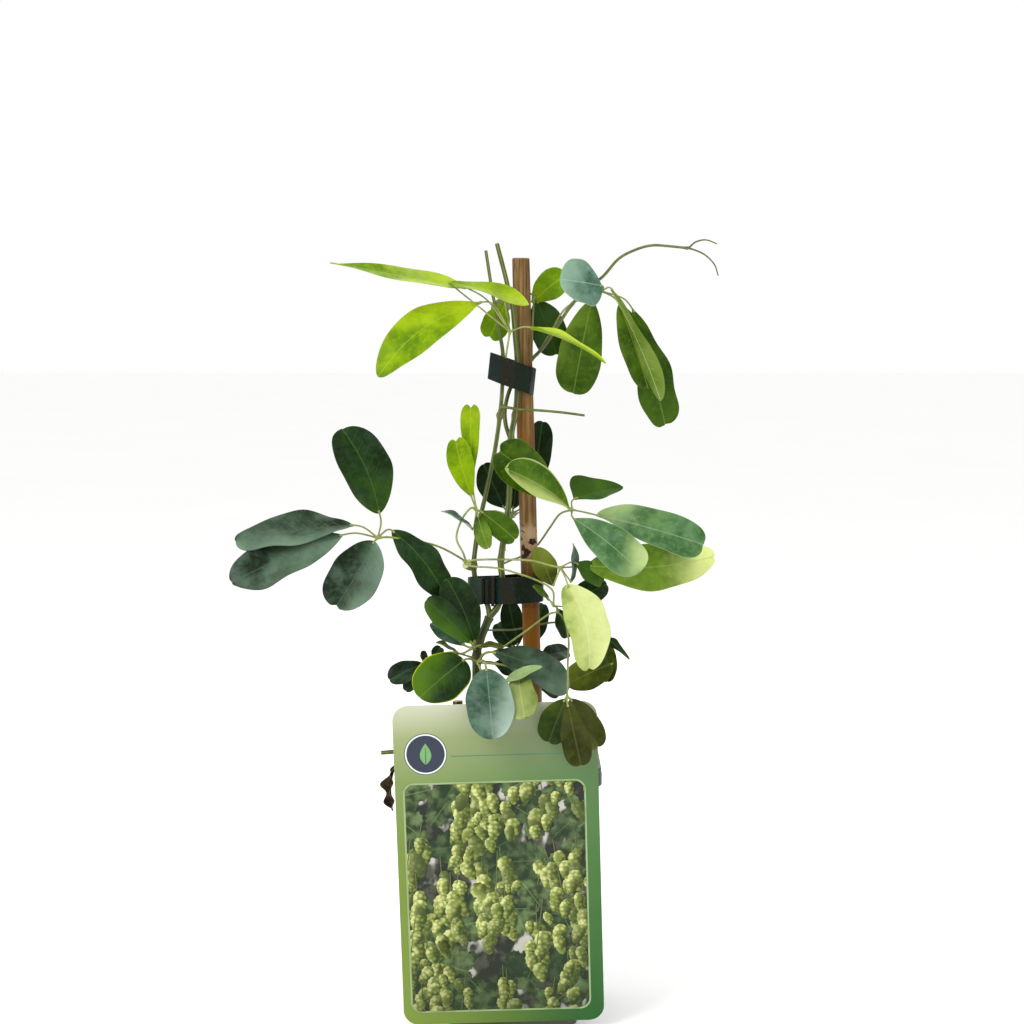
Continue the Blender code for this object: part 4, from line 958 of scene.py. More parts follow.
leaf("leaf_centre_left",
     ((-22.5, -9, 228), (-24.2, -11.2, 233.5), (-27.5, -12, 241), (-25, -13, 250), (-20.5, -13, 256),
      (-17.5, -12, 255)), (
    leaflet((-20, -12, 261.5), (-28, -16, 291), 13, (0.15, -0.95, 0.1), "young", 0.04, 8,
            widest=0.62, foot=0.8, end=2.6, notch=1.8, notch_wide=1.2, sway=-0.03, sunlit=(0, 0.1, 0.3)),
    leaflet((-19.5, -11, 268.5), (-20.5, -9, 307.5), 10, (-0.2, -0.95, 0.1), "young", 0.04, 8,
            widest=0.78, foot=1.1, end=2.6, notch=2.0, notch_wide=1.1, wave=0.6, sunlit=(0.1, 0, 0.3)),
    leaflet((-15.5, -12, 254.5), (2, -16, 240.5), 13, (0.2, -0.95, 0.2), "green", 0.06, 8,
            widest=0.6, end=2.4, notch=0.7),
    leaflet((-17, -13, 253), (-11.5, -20, 236.5), 9, (-0.4, -0.8, 0.3), "green", 0.06, 8,
            widest=0.55, sunlit=(0.3, 0, 0.3)),
    leaflet((-19, -13, 245.5), (-34.5, -22, 255.5), 10, (0.2, -0.3, 0.9), "grey_green", 0.06, 10,
            widest=0.5, end=1.25, notch=0, shade=0.3),
), 0.05)
leaf("leaf_centre_back", ((-4, -3, 234), (-3.5, -1, 237), (-1.5, 8, 242), (0, 14, 251)), (
    leaflet((-4, 12, 254), (-14.5, 4, 277), 16, (0, -1, 0.2), "deep",
            widest=0.55, end=2.0, shade=0.6),
    leaflet((0.5, 15, 253), (2.5, 17, 268), 10, (0, -1, 0.1), "deep", shade=0.6),
    leaflet((10, 16, 259.5), (15.5, 24, 297.5), 14, (0, -1, 0.1), "deep",
            widest=0.6, end=2.3, shade=0.3),
    leaflet((1, 20, 249), (-7.5, 52, 242), 18, (0, 0.1, 1), "green", 0.1, 10, widest=0.55, shade=0.2),
), 0.6)
leaf("leaf_right_upper",
     ((-5.3, -4, 227), (0, 4, 228.5), (5, 13, 229.5), (12.5, 14, 234.5), (19, 6, 244.5), (24, 0, 252),
      (30, -4, 254.5)), (
    leaflet((21.5, -8, 261), (-8, -26, 286), 23, (0, -0.92, 0.38), "green", 0.08, 8,
            widest=0.68, foot=0.85, end=2.4, notch=2.4, notch_wide=2.0, wave=0.9, waves=1.2,
            sunlit=(0.1, 0.2, -0.2)),
    leaflet((29, -7, 255), (-3.5, -32, 277), 18, (0.1, -0.85, 0.5), "cupped", 0.08, 12,
            widest=0.68, foot=1.1, end=2.3, notch=0.2, cup=2.2, sunlit=(0.25, -1.0, -0.1)),
    leaflet((31.5, 3, 259.5), (56, 17, 263), 17, (0, -0.75, 0.65), "deep", 0.06, 8,
            widest=(0.16, 0.5), foot=(0.3, 0.8), end=1.3, notch=0, lean=-0.42, curl=0.05, sunlit=(0.5, 0, 0)),
    leaflet((42, -6, 252), (95, -16, 238), 21.5, (0, -0.85, 0.52), "glaucous", 0.08, 10,
            widest=(0.55, 0.78), foot=(0.5, 1.1), end=2.9, notch=0.7, notch_wide=2.5, sway=0.02,
            sunlit=(0.15, -0.1, -0.3)),
    leaflet((30.5, -8, 250.5), (63, -26, 225), 21.5, (-0.1, -0.82, 0.58), "glaucous", 0.1, 10,
            widest=0.74, foot=0.85, end=2.8, notch=0.2, wave=0.9, waves=0.9, phase=0.2, curl=0.05,
            sunlit=(-0.1, -0.3, 0.8)),
), 0.25)
leaf("leaf_right_middle",
     ((-22.5, -9, 228), (-19, -11, 230), (-6, -12.5, 230.5), (9, -13, 230), (19, -13, 227.5),
      (24, -13, 226.5)), (
    leaflet((27.5, -16, 218.5), (38, -30, 177.5), 21, (0.1, -1, 0.15), "pale",
            widest=0.42, foot=0.5, end=2.4, notch=1.4, sway=-0.08, lean=-0.1, ripple=0.04,
            sunlit=(0.4, -0.3, 0)),
    leaflet((20.5, -10, 217), (12, -4, 236), 12.5, (0, -1, 0.2), "olive", 0.04, 8, widest=0.5, end=1.6,
            sunlit=(0.4, 0, 0.3)),
    leaflet((31.5, -10, 228.5), (45.5, -2, 217.5), 11, (0, -0.8, 0.5), "deep", sunlit=(0.6, 0, 0)),
    leaflet((38, -6, 226.5), (103, 8, 230), 25.5, (0, -0.9, 0.4), "sunlit", 0.04, 6,
            widest=0.5, foot=0.6, end=1.8, notch=1.4, notch_wide=1.4, sway=0.06, ripple=0.04,
            sunlit=(0.0, 0, 1.1)),
    leaflet((29.5, -12, 219), (30.5, -8, 238.5), 9, (0.95, -0.4, 0.1), "grey_green",
            end=1.6, shade=0.3),
), 0.0, 0.5)
leaf("leaf_right_inner",
     ((-22.5, -9, 228), (-19.5, -12, 227), (-8, -14.5, 226.5), (1, -16, 224.5), (12.5, -17, 220.5),
      (20, -16, 215.5), (20.5, -14, 207.5)), (
    leaflet((18.5, -14, 210.5), (10, -16, 218), 7, (0, -0.4, 0.9), "green", wave=0.3, end=1.7),
    leaflet((29, -8, 207.5), (48, 4, 216.5), 14, (0, -0.9, 0.4), "deep", end=1.8, shade=0.2),
    leaflet((22.5, -12, 206), (28, -8, 190.5), 9, (0.3, -0.9, 0.2), "deep", shade=0.2),
), 0.1, 0.48)
leaf("leaf_right_low",
     ((-14, -8, 194.5), (-6, 4, 193), (1, 12, 192), (9, 16, 193), (24.5, 10, 196), (43.5, 4, 192)), (
    leaflet((47.5, 3, 189.5), (59, -2, 179), 5, (0.2, -0.8, 0.5), "deep",
            widest=0.3, end=1.1, notch=0, wave=0.3),
    leaflet((46.5, 3, 188.5), (48, -4, 167.5), 11, (0, -1, 0.1), "olive", shade=0.1),
    leaflet((50.5, -2, 177), (27, -16, 168.5), 16.5, (0, -0.92, 0.38), "olive",
            widest=0.55, foot=0.55, end=2.3, notch=0.2, sunlit=(0.2, 0.2, 0.3)),
), 0.5)

# The lower leaves: one arches over the card on a long wiry petiole, two fan out from the main stem's
# lowest joint, a small one reaches to the left, and one rises from the soil behind the cane.
leaf("leaf_front_right",
     ((-17, -9.5, 181.5), (-13, -11.5, 183.5), (-6, -14, 186), (6.5, -16.5, 195), (19.5, -18.5, 204.5),
      (25.5, -16, 201.5), (28, -17, 191), (27.5, -23, 181), (27, -42, 173), (26.5, -53, 168.5)), (
    leaflet((25.5, -53, 167.5), (17.5, -55, 146.5), 16, (-0.15, -0.95, 0.25), "deep_olive",
            widest=0.55, foot=0.65, end=2.5, notch=0.6, sunlit=(0.1, 0.2, -0.2)),
    leaflet((26.5, -57, 166), (33, -61.5, 136.5), 14, (0, -0.95, 0.25), "bronzed", 0.03, 6,
            widest=0.64, foot=0.75, end=2.6, notch=0.5),
    leaflet((28, -52.5, 167.5), (42, -54, 144), 16, (0.1, -0.95, 0.25), "bronzed",
            widest=0.52, foot=0.65, end=2.4, notch=0.7, sway=0.04, sunlit=(0.35, 1.0, 0)),
), 0.35, 0.5)
leaf("leaf_low_left", ((-17.2, -9, 184.5), (-18.2, -11, 185.6), (-19.5, -13.5, 186.5)), (
    leaflet((-18.5, -14, 189), (-32, -22, 222), 17.5, (0.1, -0.95, 0.3), "deep", 0.04, 6,
            widest=0.6, foot=0.7, end=2.4, notch=0.3, sway=0.03),
    leaflet((-20, -16, 189), (-42, -30, 212.5), 13.5, (-0.2, -0.8, 0.55), "deep",
            widest=0.64, foot=0.8, end=2.5, notch=0.3, sunlit=(0.45, -0.3, 0)),
    leaflet((-23.5, -9, 187), (-41, -2, 197.5), 10, (0, -0.8, 0.6), "grey_green", shade=0.5, end=1.8),
    leaflet((-26.5, -16, 184), (-37.5, -26, 191), 6, (0, -0.5, 0.87), "olive", 0.06, 8, end=1.7, shade=0.3),
    leaflet((-16.5, -14, 187.5), (-4.5, -22, 187.5), 8, (0, -0.3, 0.95), "olive", 0.06, 10, end=1.6, notch=0),
), 0.2, 0.7, 1.25)
leaf("leaf_low_front", ((-17.2, -9, 178), (-17, -12, 178.7), (-17, -15.5, 179.5)), (
    leaflet((-23.5, -20, 181.5), (-45, -40, 166), 25, (-0.1, -0.93, 0.3), "rimmed", 0.04, 6,
            widest=0.5, foot=0.45, end=2.3, notch=0.2, sunlit=(0.35, 0.55, 0.5)),
    leaflet((-12.5, -36, 179.5), (-9, -61, 149.5), 23.5, (0, -0.87, 0.5), "grey_green", 0.06, 8,
            widest=0.56, foot=0.55, end=2.3, notch=0.2, sunlit=(0.1, -0.5, 0.3)),
    leaflet((-9.5, -22, 185.5), (27.5, -30, 167.5), 20, (0.15, -0.76, 0.64), "glossy", 0.08, 9,
            widest=0.6, foot=0.75, end=2.2, notch=0.4, wave=0.7, sway=-0.04, sunlit=(0.3, 0, 0.2)),
    leaflet((-9, -14, 179), (3.5, -8, 173), 9, (0, -0.8, 0.5), "deep", shade=0.6),
    leaflet((3, -31, 175.5), (6, -56.5, 158.5), 15.5, (-0.1, -0.85, 0.5), "underside", 0.05, 10,
            widest=0.68, foot=0.5, end=2.8, notch=0.8, ripple=0.05, sunlit=(0.45, 0.2, 0.1)),
    leaflet((-5, -37, 172), (14.5, -35, 180.5), 6.5, (-0.2, -0.7, 0.7), "glaucous", 0.08, 8,
            widest=0.6, foot=1.1, end=1.2, notch=0, sunlit=(0.55, 0, 0)),
), 0.2, 0.7, 1.25)
leaf("leaf_low_far_left",
     ((-17.5, -9, 181), (-20.5, -11, 181.6), (-31, -12, 184), (-41, -9, 179.5)), (
    leaflet((-39.5, -8, 180.5), (-35.5, -2, 185.5), 6, (0, -0.9, 0.4), "glossy", 0.04, 6, wave=0.2),
    leaflet((-42, -9, 180), (-45.5, -16, 183.5), 6, (0, -0.9, 0.4), "glossy", 0.04, 6, wave=0.2),
    leaflet((-44, -10, 178), (-61, -16, 170.5), 12, (-0.1, -0.85, 0.5), "glossy", 0.06, 8,
            widest=0.6, end=2.4),
    leaflet((-44, -9, 176), (-53, -14, 164.5), 7.5, (-0.1, -0.85, 0.5), "glossy", 0.06, 8,
            widest=0.6, end=2.4),
), 0.3, 0.5)
leaf("leaf_low_back", ((-8, 4, 121.5), (-6, 10, 134), (0, 17, 156), (4, 20, 177.5)), (
    leaflet((14.5, 22, 176), (29.5, 33, 178), 11, (0, -0.8, 0.6), "glossy", 0.06, 8),
    leaflet((1, 20, 181.5), (-8, 26, 193.5), 11, (0, -0.9, 0.3), "deep", shade=0.3),
    leaflet((3, 20, 182.5), (-2, 20, 206), 12, (0, -1, 0.1), "deep", shade=0.5),
    leaflet((9, 21, 182), (16, 25, 204), 11, (0, -1, 0.1), "deep", shade=0.4),
    leaflet((11, 21, 170), (24.5, 27, 155), 9, (0, -0.9, 0.3), "glossy", shade=0.3),
), 0.5)

# ---------------------------------------------------------------------------------------------
# Dead leaf: one withered leaflet that hangs from the runner, dry, curled lengthwise and dark brown,
# with paler torn edges.
# ---------------------------------------------------------------------------------------------
withered_blade, tree = start_material("withered_leaf_blade")
crumple = grain(tree, 2.5, 4, rough=0.7)
across = node(tree, "Attribute", out="Fac", attribute_name="across")
edge = node(tree, "Math", across, operation="ABSOLUTE")
tone = layered(tree, "#1E150C", ((crumple, 0.4, 0.75), 1, "#4E3C22"),
               ((edge, 0.9, 1.0), 1, "#8A744C"))
bump = node(tree, "Bump", Height=crumple, Distance=0.8 * MM)
skin = node(tree, "BsdfPrincipled", Base_Color=tone, Roughness=0.85, Normal=bump, Specular_IOR_Level=0.2)
node(tree, "OutputMaterial", skin)
withered = leaflet((-58.5, -10, 127), (-60, -9, 103), 8, (-0.75, -0.65, 0.1), "withered", 0.1, 38,
                   wave=1.5, waves=2.6, twist=35, ripple=0.15, end=1.6)
dry_route = (-58.5, -10, 133.4), (-58.6, -10, 130), (-58.5, -10, 127), (-58.6, -9.9, 124.5)
dry_stalk = stalk(dry_route, 0.4, 0.5, 1.0)
make_piece("withered_leaf", [(*withered[:3], 0), (*dry_stalk[:3], 0)], [withered_blade],
           ["dry_leaf"], 70)

# ---------------------------------------------------------------------------------------------
# Picture card and hanger: a card of laminated polypropylene film, printed on the front, hung on the
# pot's rim by a folded white strip. The print is a green ground that deepens to one lower corner,
# a thin rule, a plain leaf badge, and a picture of ripe hop cones and leaves in a window.
# ---------------------------------------------------------------------------------------------
CARD_WIDTH = 99.0
CARD_HEIGHT = 162.5
CARD_THICK = 0.8
CARD_CORNER = 7.5
CARD_EDGE_ROUND = 0.12
CARD_CENTRE = Vector((-6.2, -41.1, 83.6))
CARD_LEAN = 5.0
CARD_TURN = 1.7
WINDOW = (-44.8, 42.3, -74.2, 41.6)
WINDOW_CORNER = 4.5
WINDOW_RIM = 0.9
BADGE_CENTRE = (-34.0, 57.0)
BADGE_RADII = (10.4, 10.0, 9.3)
BADGE_LEAF = (2.9, 10.8)
RULE = (-21.7, 34.0, 55.3, 0.5)
PRINT_LIFT = 0.03

card_turned = (Matrix.Rotation(math.radians(CARD_LEAN), 3, "X")
               @ Matrix.Rotation(math.radians(CARD_TURN), 3, "Y").inverted())


def on_card(x, y, z):
    """A place on the hanging card from one on a flat upright card."""
    return tuple(card_turned @ Vector((x, y, z)) + CARD_CENTRE)


def flat_print(plan, front, ink):
    """A thin closed patch of print, whose front stands front mm proud of the card's face."""
    face = -CARD_THICK / 2
    points, faces = loft([[(x, face - front, z) for x, z in plan], [(x, face, z) for x, z in plan]])
    marks = {"card_x": [p[0] for p in points], "card_z": [p[2] for p in points], "ink": [ink] * len(points)}
    return [on_card(*p) for p in points], faces, marks


# Laminated film: offset print under clear film, so it is smooth and satin with faint rolling marks. The
# ground runs from warm grey at the top to yellow-green at the lower left and deep green at the lower right.
card_film, tree = start_material("laminated_printed_film")
card_x, card_z, ink = (
    node(tree, "Attribute", out="Fac", attribute_name=key) for key in ("card_x", "card_z", "ink"))
down = node(tree, "MapRange", card_z, CARD_HEIGHT / 2, -CARD_HEIGHT / 2)
sideways = node(tree, "MapRange", card_x, -CARD_WIDTH / 2, CARD_WIDTH / 2, **SMOOTH)
grounds = []
for stops, codes in (((0.0, 0.1, 0.24, 0.45, 1.0), ("#BEC0AA", "#929C6E", "#768A52", "#6E8238", "#728838")),
                     ((0.0, 0.1, 0.24, 0.5, 1.0), ("#9EA088", "#6C7E5E", "#4C7246", "#3E6A36", "#065024"))):
    grounds.append(node(tree, "ValToRGB", down))
    elements = grounds[-1].node.color_ramp.elements
    for _ in codes[2:]:
        elements.new(0.5)
    for element, at, code in zip(elements, stops, codes):
        element.position = at
        element.color = linear(code)
inks = ("#4C7C66", "#4A5460", "#DDE2DC", "#343A48", "#6FA066", "#93A878")
tone = layered(
    tree, node(tree, "Mix", sideways, *grounds, **COLOUR), (grain(tree, 16, 2), 0.12, "#8C9C48"),
    *((node(tree, "MapRange", ink, i + 0.5, i + 1.0), 1, code) for i, code in enumerate(inks)))
skin = node(tree, "BsdfPrincipled", Base_Color=tone, Specular_IOR_Level=0.2,
            Roughness=node(tree, "Math", grain(tree, 9, 2), 0.12, 0.34, **TIMES_PLUS),
            Normal=node(tree, "Bump", Height=grain(tree, 4, 2), Distance=0.02 * MM))
node(tree, "OutputMaterial", skin)

half_wide, half_tall, depth = CARD_WIDTH / 2, CARD_HEIGHT / 2, CARD_THICK / 2
card_rings = []
for y, inset in ((-depth, CARD_EDGE_ROUND), (CARD_EDGE_ROUND - depth, 0), (depth - CARD_EDGE_ROUND, 0),
                 (depth, CARD_EDGE_ROUND)):
    plan = rounded_plan(inset - half_wide, half_wide - inset, inset - half_tall, half_tall - inset,
                        CARD_CORNER - inset, 12)
    card_rings.append([(x, y, z) for x, z in plan])
card_points, card_faces = loft(card_rings)
card_marks = {"card_x": [p[0] for p in card_points], "card_z": [p[2] for p in card_points],
              "ink": [0.0] * len(card_points)}
card_shapes = [([on_card(*p) for p in card_points], card_faces, card_marks, 0)]
rule_left, rule_right, rule_low, rule_wide = RULE
prints = [([(rule_left, rule_low), (rule_right, rule_low), (rule_right, rule_low + rule_wide),
            (rule_left, rule_low + rule_wide)], 1.0)]
for number, radius in enumerate(BADGE_RADII):
    disc = [(BADGE_CENTRE[0] + radius * math.cos(math.tau * k / 64),
             BADGE_CENTRE[1] + radius * math.sin(math.tau * k / 64)) for k in range(64)]
    prints.append((disc, 2.0 + number))
badge_leaf = []
for k in range(40):
    v = 0.5 - 0.5 * math.cos(math.tau * k / 40)
    half = BADGE_LEAF[0] * math.sin(math.pi * v) ** 0.9 * (1.2 - 0.5 * v)
    u = math.copysign(half, math.sin(math.tau * k / 40))
    badge_leaf.append((BADGE_CENTRE[0] + u, BADGE_CENTRE[1] + BADGE_LEAF[1] * (v - 0.5)))
prints.append((badge_leaf, 5.0))
badge_rib = [(BADGE_CENTRE[0] + x, BADGE_CENTRE[1] + z)
             for x, z in ((-0.22, -7), (0.22, -7), (0.1, 3.2), (-0.1, 3.2))]
prints.append((badge_rib, 4.0))
window_left, window_right, window_low, window_high = WINDOW
prints.append((rounded_plan(window_left - WINDOW_RIM, window_right + WINDOW_RIM, window_low - WINDOW_RIM,
                            window_high + WINDOW_RIM, WINDOW_CORNER + WINDOW_RIM), 6.0))
for number, (plan, ink_number) in enumerate(prints):
    card_shapes.append((*flat_print(plan, PRINT_LIFT * (number + 1) * 0.5, ink_number), 0))
make_piece("card_film", card_shapes, [card_film], ["picture_card"], 30)

# The picture: hop cones drawn as overlapping pale green scales, over leaves, thin bines and dark gaps.
# They lie in 90 layers, 0.006 mm apart, that are used in turn.
TRAILS = 42
CONES_IN_TRAIL = 7
CONE_DROP = 4.2
CONE_LENGTHS = (7.0, 12.0)
LEAF_SIZES = (5, 11)
LEAF_PRINTS = 70
LAYER_STEP = 0.006
LEAF_LAYERS = 30
CONE_LAYERS = 60
picture_ink, tree = start_material("printed_hop_picture")
kind, cone_x, cone_z, own_tone, card_z = (
    node(tree, "Attribute", out="Fac", attribute_name=key)
    for key in ("ink", "cone_x", "cone_z", "tone", "card_z"))
# a cone's scales: rounded cells in the flat coordinates of its own outline, lit from the upper left
scales = ((cone_x, 1.5), (cone_z, 4.6), (own_tone, 40.0))
place = node(tree, "CombineXYZ", *(node(tree, "Math", mark, scale, **TIMES) for mark, scale in scales))
cells = node(tree, "TexVoronoi", Vector=place, Scale=1.0, Randomness=0.75, out="Distance")
scale_light = node(tree, "MapRange", cells, 0.75, 0.1, **SMOOTH)
upper = node(tree, "Math", cone_z, 0.35, 0.3, **TIMES_PLUS)
leaning = node(tree, "Math", cone_x, -0.45, upper, **TIMES_PLUS)
light = node(tree, "Math", scale_light, 0.42, leaning, **TIMES_PLUS)
off_middle = node(tree, "Math", cone_x, operation="ABSOLUTE")
cone_tone = layered(tree, "#36421A", ((light, 0.2, 0.85), 1, "#808C44"),
                    ((light, 0.7, 1.15), 1, "#C6CA86"),
                    ((off_middle, 0.75, 1.15), 0.7, "#2A3414"),
                    ((own_tone, 0.35, 1.3), 1, "#3C4A22"))
leaf_tone = layered(tree, "#25331B", ((grain(tree, 5, 3), 0.35, 0.7), 1, "#61754A"),
                    ((off_middle, 0.04, 0.01), 0.35, "#7B9A62"),
                    ((own_tone, 0.3, 1.1), 1, "#1F3320"))
pale_gaps = node(tree, "MapRange", grain(tree, 11, 2, (1.2, 1, 0.8)), 0.56, 0.66, **SMOOTH)
tone = layered(tree, "#262B24", ((grain(tree, 7, 3), 0.45, 0.6), 1, "#47493C"),
               (pale_gaps, 1, "#B4B2AA"))
tone = node(tree, "Mix", node(tree, "MapRange", kind, 0.5, 1.0), tone, leaf_tone, **COLOUR)
tone = node(tree, "Mix", node(tree, "MapRange", kind, 1.5, 2.0), tone, cone_tone, **COLOUR)
tone = layered(tree, tone, (node(tree, "MapRange", kind, 2.5, 3.0), 1, "#5C6A3C"),
               ((card_z, -30.0, -74.0), 0.35, "#23301A"))
skin = node(tree, "BsdfPrincipled", Base_Color=tone, Roughness=0.4, Specular_IOR_Level=0.2)
node(tree, "OutputMaterial", skin)


def in_window(plan):
    """The part of a flat outline inside the picture window, cut at its sides and its corners."""
    inset = WINDOW_CORNER * (1 - math.sqrt(0.5))
    sides = [(1, 0, window_left), (-1, 0, -window_right), (0, 1, window_low), (0, -1, -window_high)]
    for sx, sz in ((1, 1), (1, -1), (-1, 1), (-1, -1)):
        x = window_left if sx > 0 else window_right
        z = window_low if sz > 0 else window_high
        sides.append((sx, sz, sx * x + sz * z + 2 * inset))
    for nx, nz, limit in sides:
        kept = []
        for i, here in enumerate(plan):
            before = plan[i - 1]
            a, b = (nx * p[0] + nz * p[1] - limit for p in (before, here))
            if (a >= 0) != (b >= 0):
                kept.append(tuple(p + (q - p) * a / (a - b) for p, q in zip(before, here)))
            if b >= 0:
                kept.append(here)
        plan = kept
        if len(plan) < 3:
            return []
    return plan


def printed(plan, layer, kind_value, tone_value):
    """One printed cone or leaf: its outline carries its own flat coordinates, so its scales follow it."""
    face = -CARD_THICK / 2
    front = face - PRINT_LIFT * 6 - LAYER_STEP * layer
    points, faces = loft([[(p[0], front, p[1]) for p in plan], [(p[0], face, p[1]) for p in plan]])
    marks = {"ink": [kind_value] * len(points), "tone": [tone_value] * len(points),
             "card_z": [p[2] for p in points],
             "cone_x": [p[2] for p in plan] * 2, "cone_z": [p[3] for p in plan] * 2}
    return [on_card(*p) for p in points], faces, marks, 0


def turned_plan(x, z, tilt, outline_points):
    """A flat outline of (local x, local z, mark, mark), turned by tilt and moved to (x, z)."""
    c, s = math.cos(tilt), math.sin(tilt)
    return [(x + u * c - v * s, z + u * s + v * c, *rest) for u, v, *rest in outline_points]


def cone_outline(wide, tall):
    """The outline of a hop cone that hangs from its stalk, scalloped by its scales' tips."""
    points = []
    for k in range(40):
        turn = math.tau * k / 40
        v = 0.5 - 0.5 * math.cos(turn)
        bulge = (4 * v * (1 - v)) ** 0.5 * (1.12 - 0.5 * v) * (1 + 0.08 * math.sin(v * 30))
        u = math.copysign(bulge, math.sin(turn)) if 0 < v < 1 else 0.0
        points.append((u * wide / 2, -v * tall, u, 1 - v))
    return points


def hop_leaf_outline(size):
    """The outline of a hop leaf: three pointed lobes with toothed edges."""
    points = []
    for k in range(72):
        turn = math.tau * k / 72
        lobes = 0.55 + 0.45 * abs(math.cos(1.5 * (turn - math.pi / 2)))
        reach = size * lobes * (1 + 0.06 * math.cos(24 * turn))
        x, z = reach * math.cos(turn), reach * math.sin(turn)
        points.append((x, z, x / size, z / size))
    return points


rng = random.Random(11)
items = []
for _ in range(LEAF_PRINTS):
    spot = rng.uniform(window_left, window_right), rng.uniform(window_low, window_high)
    items.append((turned_plan(*spot, rng.uniform(-2.6, 2.6), hop_leaf_outline(rng.uniform(*LEAF_SIZES))), 1.0,
                  rng.random()))
for _ in range(TRAILS):
    x, z = rng.uniform(window_left, window_right), rng.uniform(window_low, window_high + 18)
    sideways_step = rng.gauss(0, 1.0)
    bine = [(-0.22, 0, 0, 0), (0.22, 0, 0, 0), (0.22, -26, 0, 0), (-0.22, -26, 0, 0)]
    items.append((turned_plan(x, z + 6, sideways_step * 0.14, bine), 3.0, 0.0))
    for step in range(CONES_IN_TRAIL):
        tall = rng.uniform(*CONE_LENGTHS)
        spot = x + step * sideways_step + rng.gauss(0, 3.0), z - step * CONE_DROP + rng.gauss(0, 1.4)
        tilt = rng.gauss(0, 0.32)
        cone = cone_outline(tall * rng.uniform(0.62, 0.78), tall)
        items.append((turned_plan(*spot, tilt, cone), 2.0, rng.random() ** 1.5))
backing = [(x, z, 0.0, 0.0) for x, z in rounded_plan(*WINDOW, WINDOW_CORNER)]
picture_shapes = [printed(backing, -1, 0.0, 0.0)]
for number, (plan, kind_value, tone_value) in enumerate(items):
    plan = in_window(plan)
    if len(plan) >= 3:
        layer = number % LEAF_LAYERS if number < LEAF_PRINTS else LEAF_LAYERS + number % CONE_LAYERS
        picture_shapes.append(printed(plan, layer, kind_value, tone_value))
make_piece("hop_picture_print", picture_shapes, [picture_ink], (), 30)

# The hanger: a strip of white polypropylene film, folded over the rim and down inside the pot.
HANGER_WIDTH = 30.0
HANGER_THICK = 0.8
HANGER_INNER_LEG = 6.5
HANGER_TOP = 151.0
FOLD_GAP = 0.3
lean = math.tan(math.radians(CARD_LEAN))
card_back = CARD_THICK / 2 / math.cos(math.radians(CARD_LEAN)) + FOLD_GAP


def behind_card(z):
    """Where the strip's middle lies behind the card at a height."""
    return CARD_CENTRE.y - (z - CARD_CENTRE.z) * lean + card_back + HANGER_THICK / 2


over_rim = POT_HEIGHT + FOLD_GAP + HANGER_THICK / 2
inside = FOLD_GAP + HANGER_THICK / 2 - POT_INNER_TOP_HALF
taper = (POT_WALL_TOP_HALF - POT_BASE_HALF) / (POT_HEIGHT - POT_LIP_HEIGHT)
strip = [(behind_card(z), z) for z in (HANGER_TOP, 141, over_rim + 1.5)]
strip += [(behind_card(over_rim) + 1.0, over_rim), (inside - 0.2, over_rim), (inside + 0.4, over_rim - 1.0)]
strip += [(inside + 0.4 + HANGER_INNER_LEG * taper, POT_HEIGHT - HANGER_INNER_LEG)]
strip = soft_outline(strip, 0.3, 4)[5:-5]
strip_middle = CARD_CENTRE.x + 2.0
strip_rings = []
for i, spot in enumerate(strip):
    ahead = (strip[min(i + 1, len(strip) - 1)] - strip[max(i - 1, 0)]).normalized()
    out = Vector((ahead.y, -ahead.x)) * HANGER_THICK / 2 * 0.9
    corners = [(side, spot + out * way) for side, way in ((-1, 1), (1, 1), (1, -1), (-1, -1))]
    strip_rings.append([(strip_middle + side * HANGER_WIDTH / 2, p.x, p.y) for side, p in corners])

# White polypropylene film: dull satin, with soil dust in its scratches.
white_film, tree = start_material("white_polypropylene_film")
tone = layered(tree, "#E8E8E2", (grain(tree, 12, 3), 1, "#D6D6CE"),
               ((grain(tree, 2, 3), 0.6, 0.75), 0.25, "#A8A294"))
bump = node(tree, "Bump", Height=grain(tree, 1.2, 2), Distance=0.03 * MM)
node(tree, "OutputMaterial", node(tree, "BsdfPrincipled", Base_Color=tone, Roughness=0.4, Normal=bump))
make_piece("hanger_strip", [(*loft(strip_rings), {}, 0)], [white_film], ["card_hanger"], 50)

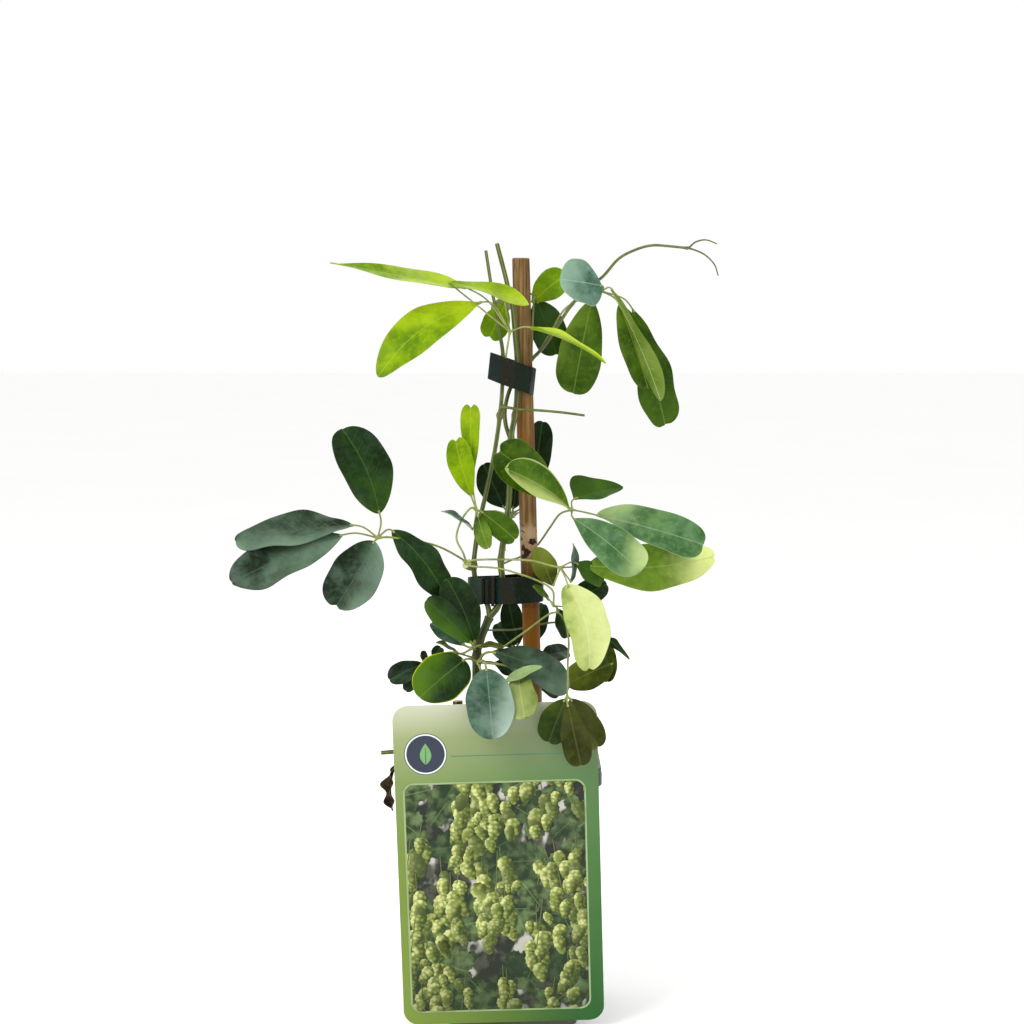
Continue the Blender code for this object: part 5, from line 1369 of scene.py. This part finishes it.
# ---------------------------------------------------------------------------------------------
# Studio: a plain pale floor under an even white light, a large soft lamp at the upper left, weaker
# ones at the right and behind, and a camera that looks slightly down.
# ---------------------------------------------------------------------------------------------
FLOOR_HALF = 12.0
floor_mesh = bpy.data.meshes.new("studio_floor")
corners = [(x * FLOOR_HALF, y * FLOOR_HALF, 0) for x, y in ((-1, -1), (1, -1), (1, 1), (-1, 1))]
floor_mesh.from_pydata(corners, [], [(0, 1, 2, 3)])
floor = bpy.data.objects.new("studio_floor", floor_mesh)
bpy.context.scene.collection.objects.link(floor)
# White seamless paper: matt, with a faint cloudiness where it rolled.
paper, tree = start_material("white_paper_roll")
tone = layered(tree, "#FAFAF9", (grain(tree, 300, 1), 1, "#FDFDFC"))
skin = node(tree, "BsdfPrincipled", Base_Color=tone, Roughness=0.95, Specular_IOR_Level=0.1)
node(tree, "OutputMaterial", skin)
floor_mesh.materials.append(paper)

world = bpy.data.worlds.new("studio_light")
bpy.context.scene.world = world
world.use_nodes = True
for setting, value in (("Color", (1.0, 1.0, 1.0, 1.0)), ("Strength", 1.0)):
    world.node_tree.nodes["Background"].inputs[setting].default_value = value

SOFTBOXES = (
    ("key_softbox", (-0.9, -0.9, 1.35), 0.8, 17),
    ("fill_softbox", (1.2, -0.7, 0.6), 0.9, 2),
    ("back_softbox", (0.3, 1.1, 1.2), 0.8, 6),
)
PLANT_MIDDLE = Vector((0, 0, 0.2))
for name, place, size, power in SOFTBOXES:
    light = bpy.data.lights.new(name, "AREA")
    light.size = size
    light.energy = power
    lamp = bpy.data.objects.new(name, light)
    lamp.location = place
    lamp.rotation_euler = (PLANT_MIDDLE - Vector(place)).to_track_quat("-Z", "Y").to_euler()
    bpy.context.scene.collection.objects.link(lamp)

CAMERA_DISTANCE = 1.150
CAMERA_AIM_HEIGHT = 0.253
CAMERA_RISE = 5.0
SENSOR_WIDTH = 36.0
LENS = 80.86
camera_data = bpy.data.cameras.new("camera")
camera_data.sensor_width = SENSOR_WIDTH
camera_data.lens = LENS
camera = bpy.data.objects.new("camera", camera_data)
rise = math.radians(CAMERA_RISE)
back, above = CAMERA_DISTANCE * math.cos(rise), CAMERA_DISTANCE * math.sin(rise)
camera.location = (0, -back, CAMERA_AIM_HEIGHT + above)
camera.rotation_euler = (math.radians(90) - rise, 0, 0)
bpy.context.scene.collection.objects.link(camera)
bpy.context.scene.camera = camera
bpy.context.scene.view_settings.view_transform = "Standard"
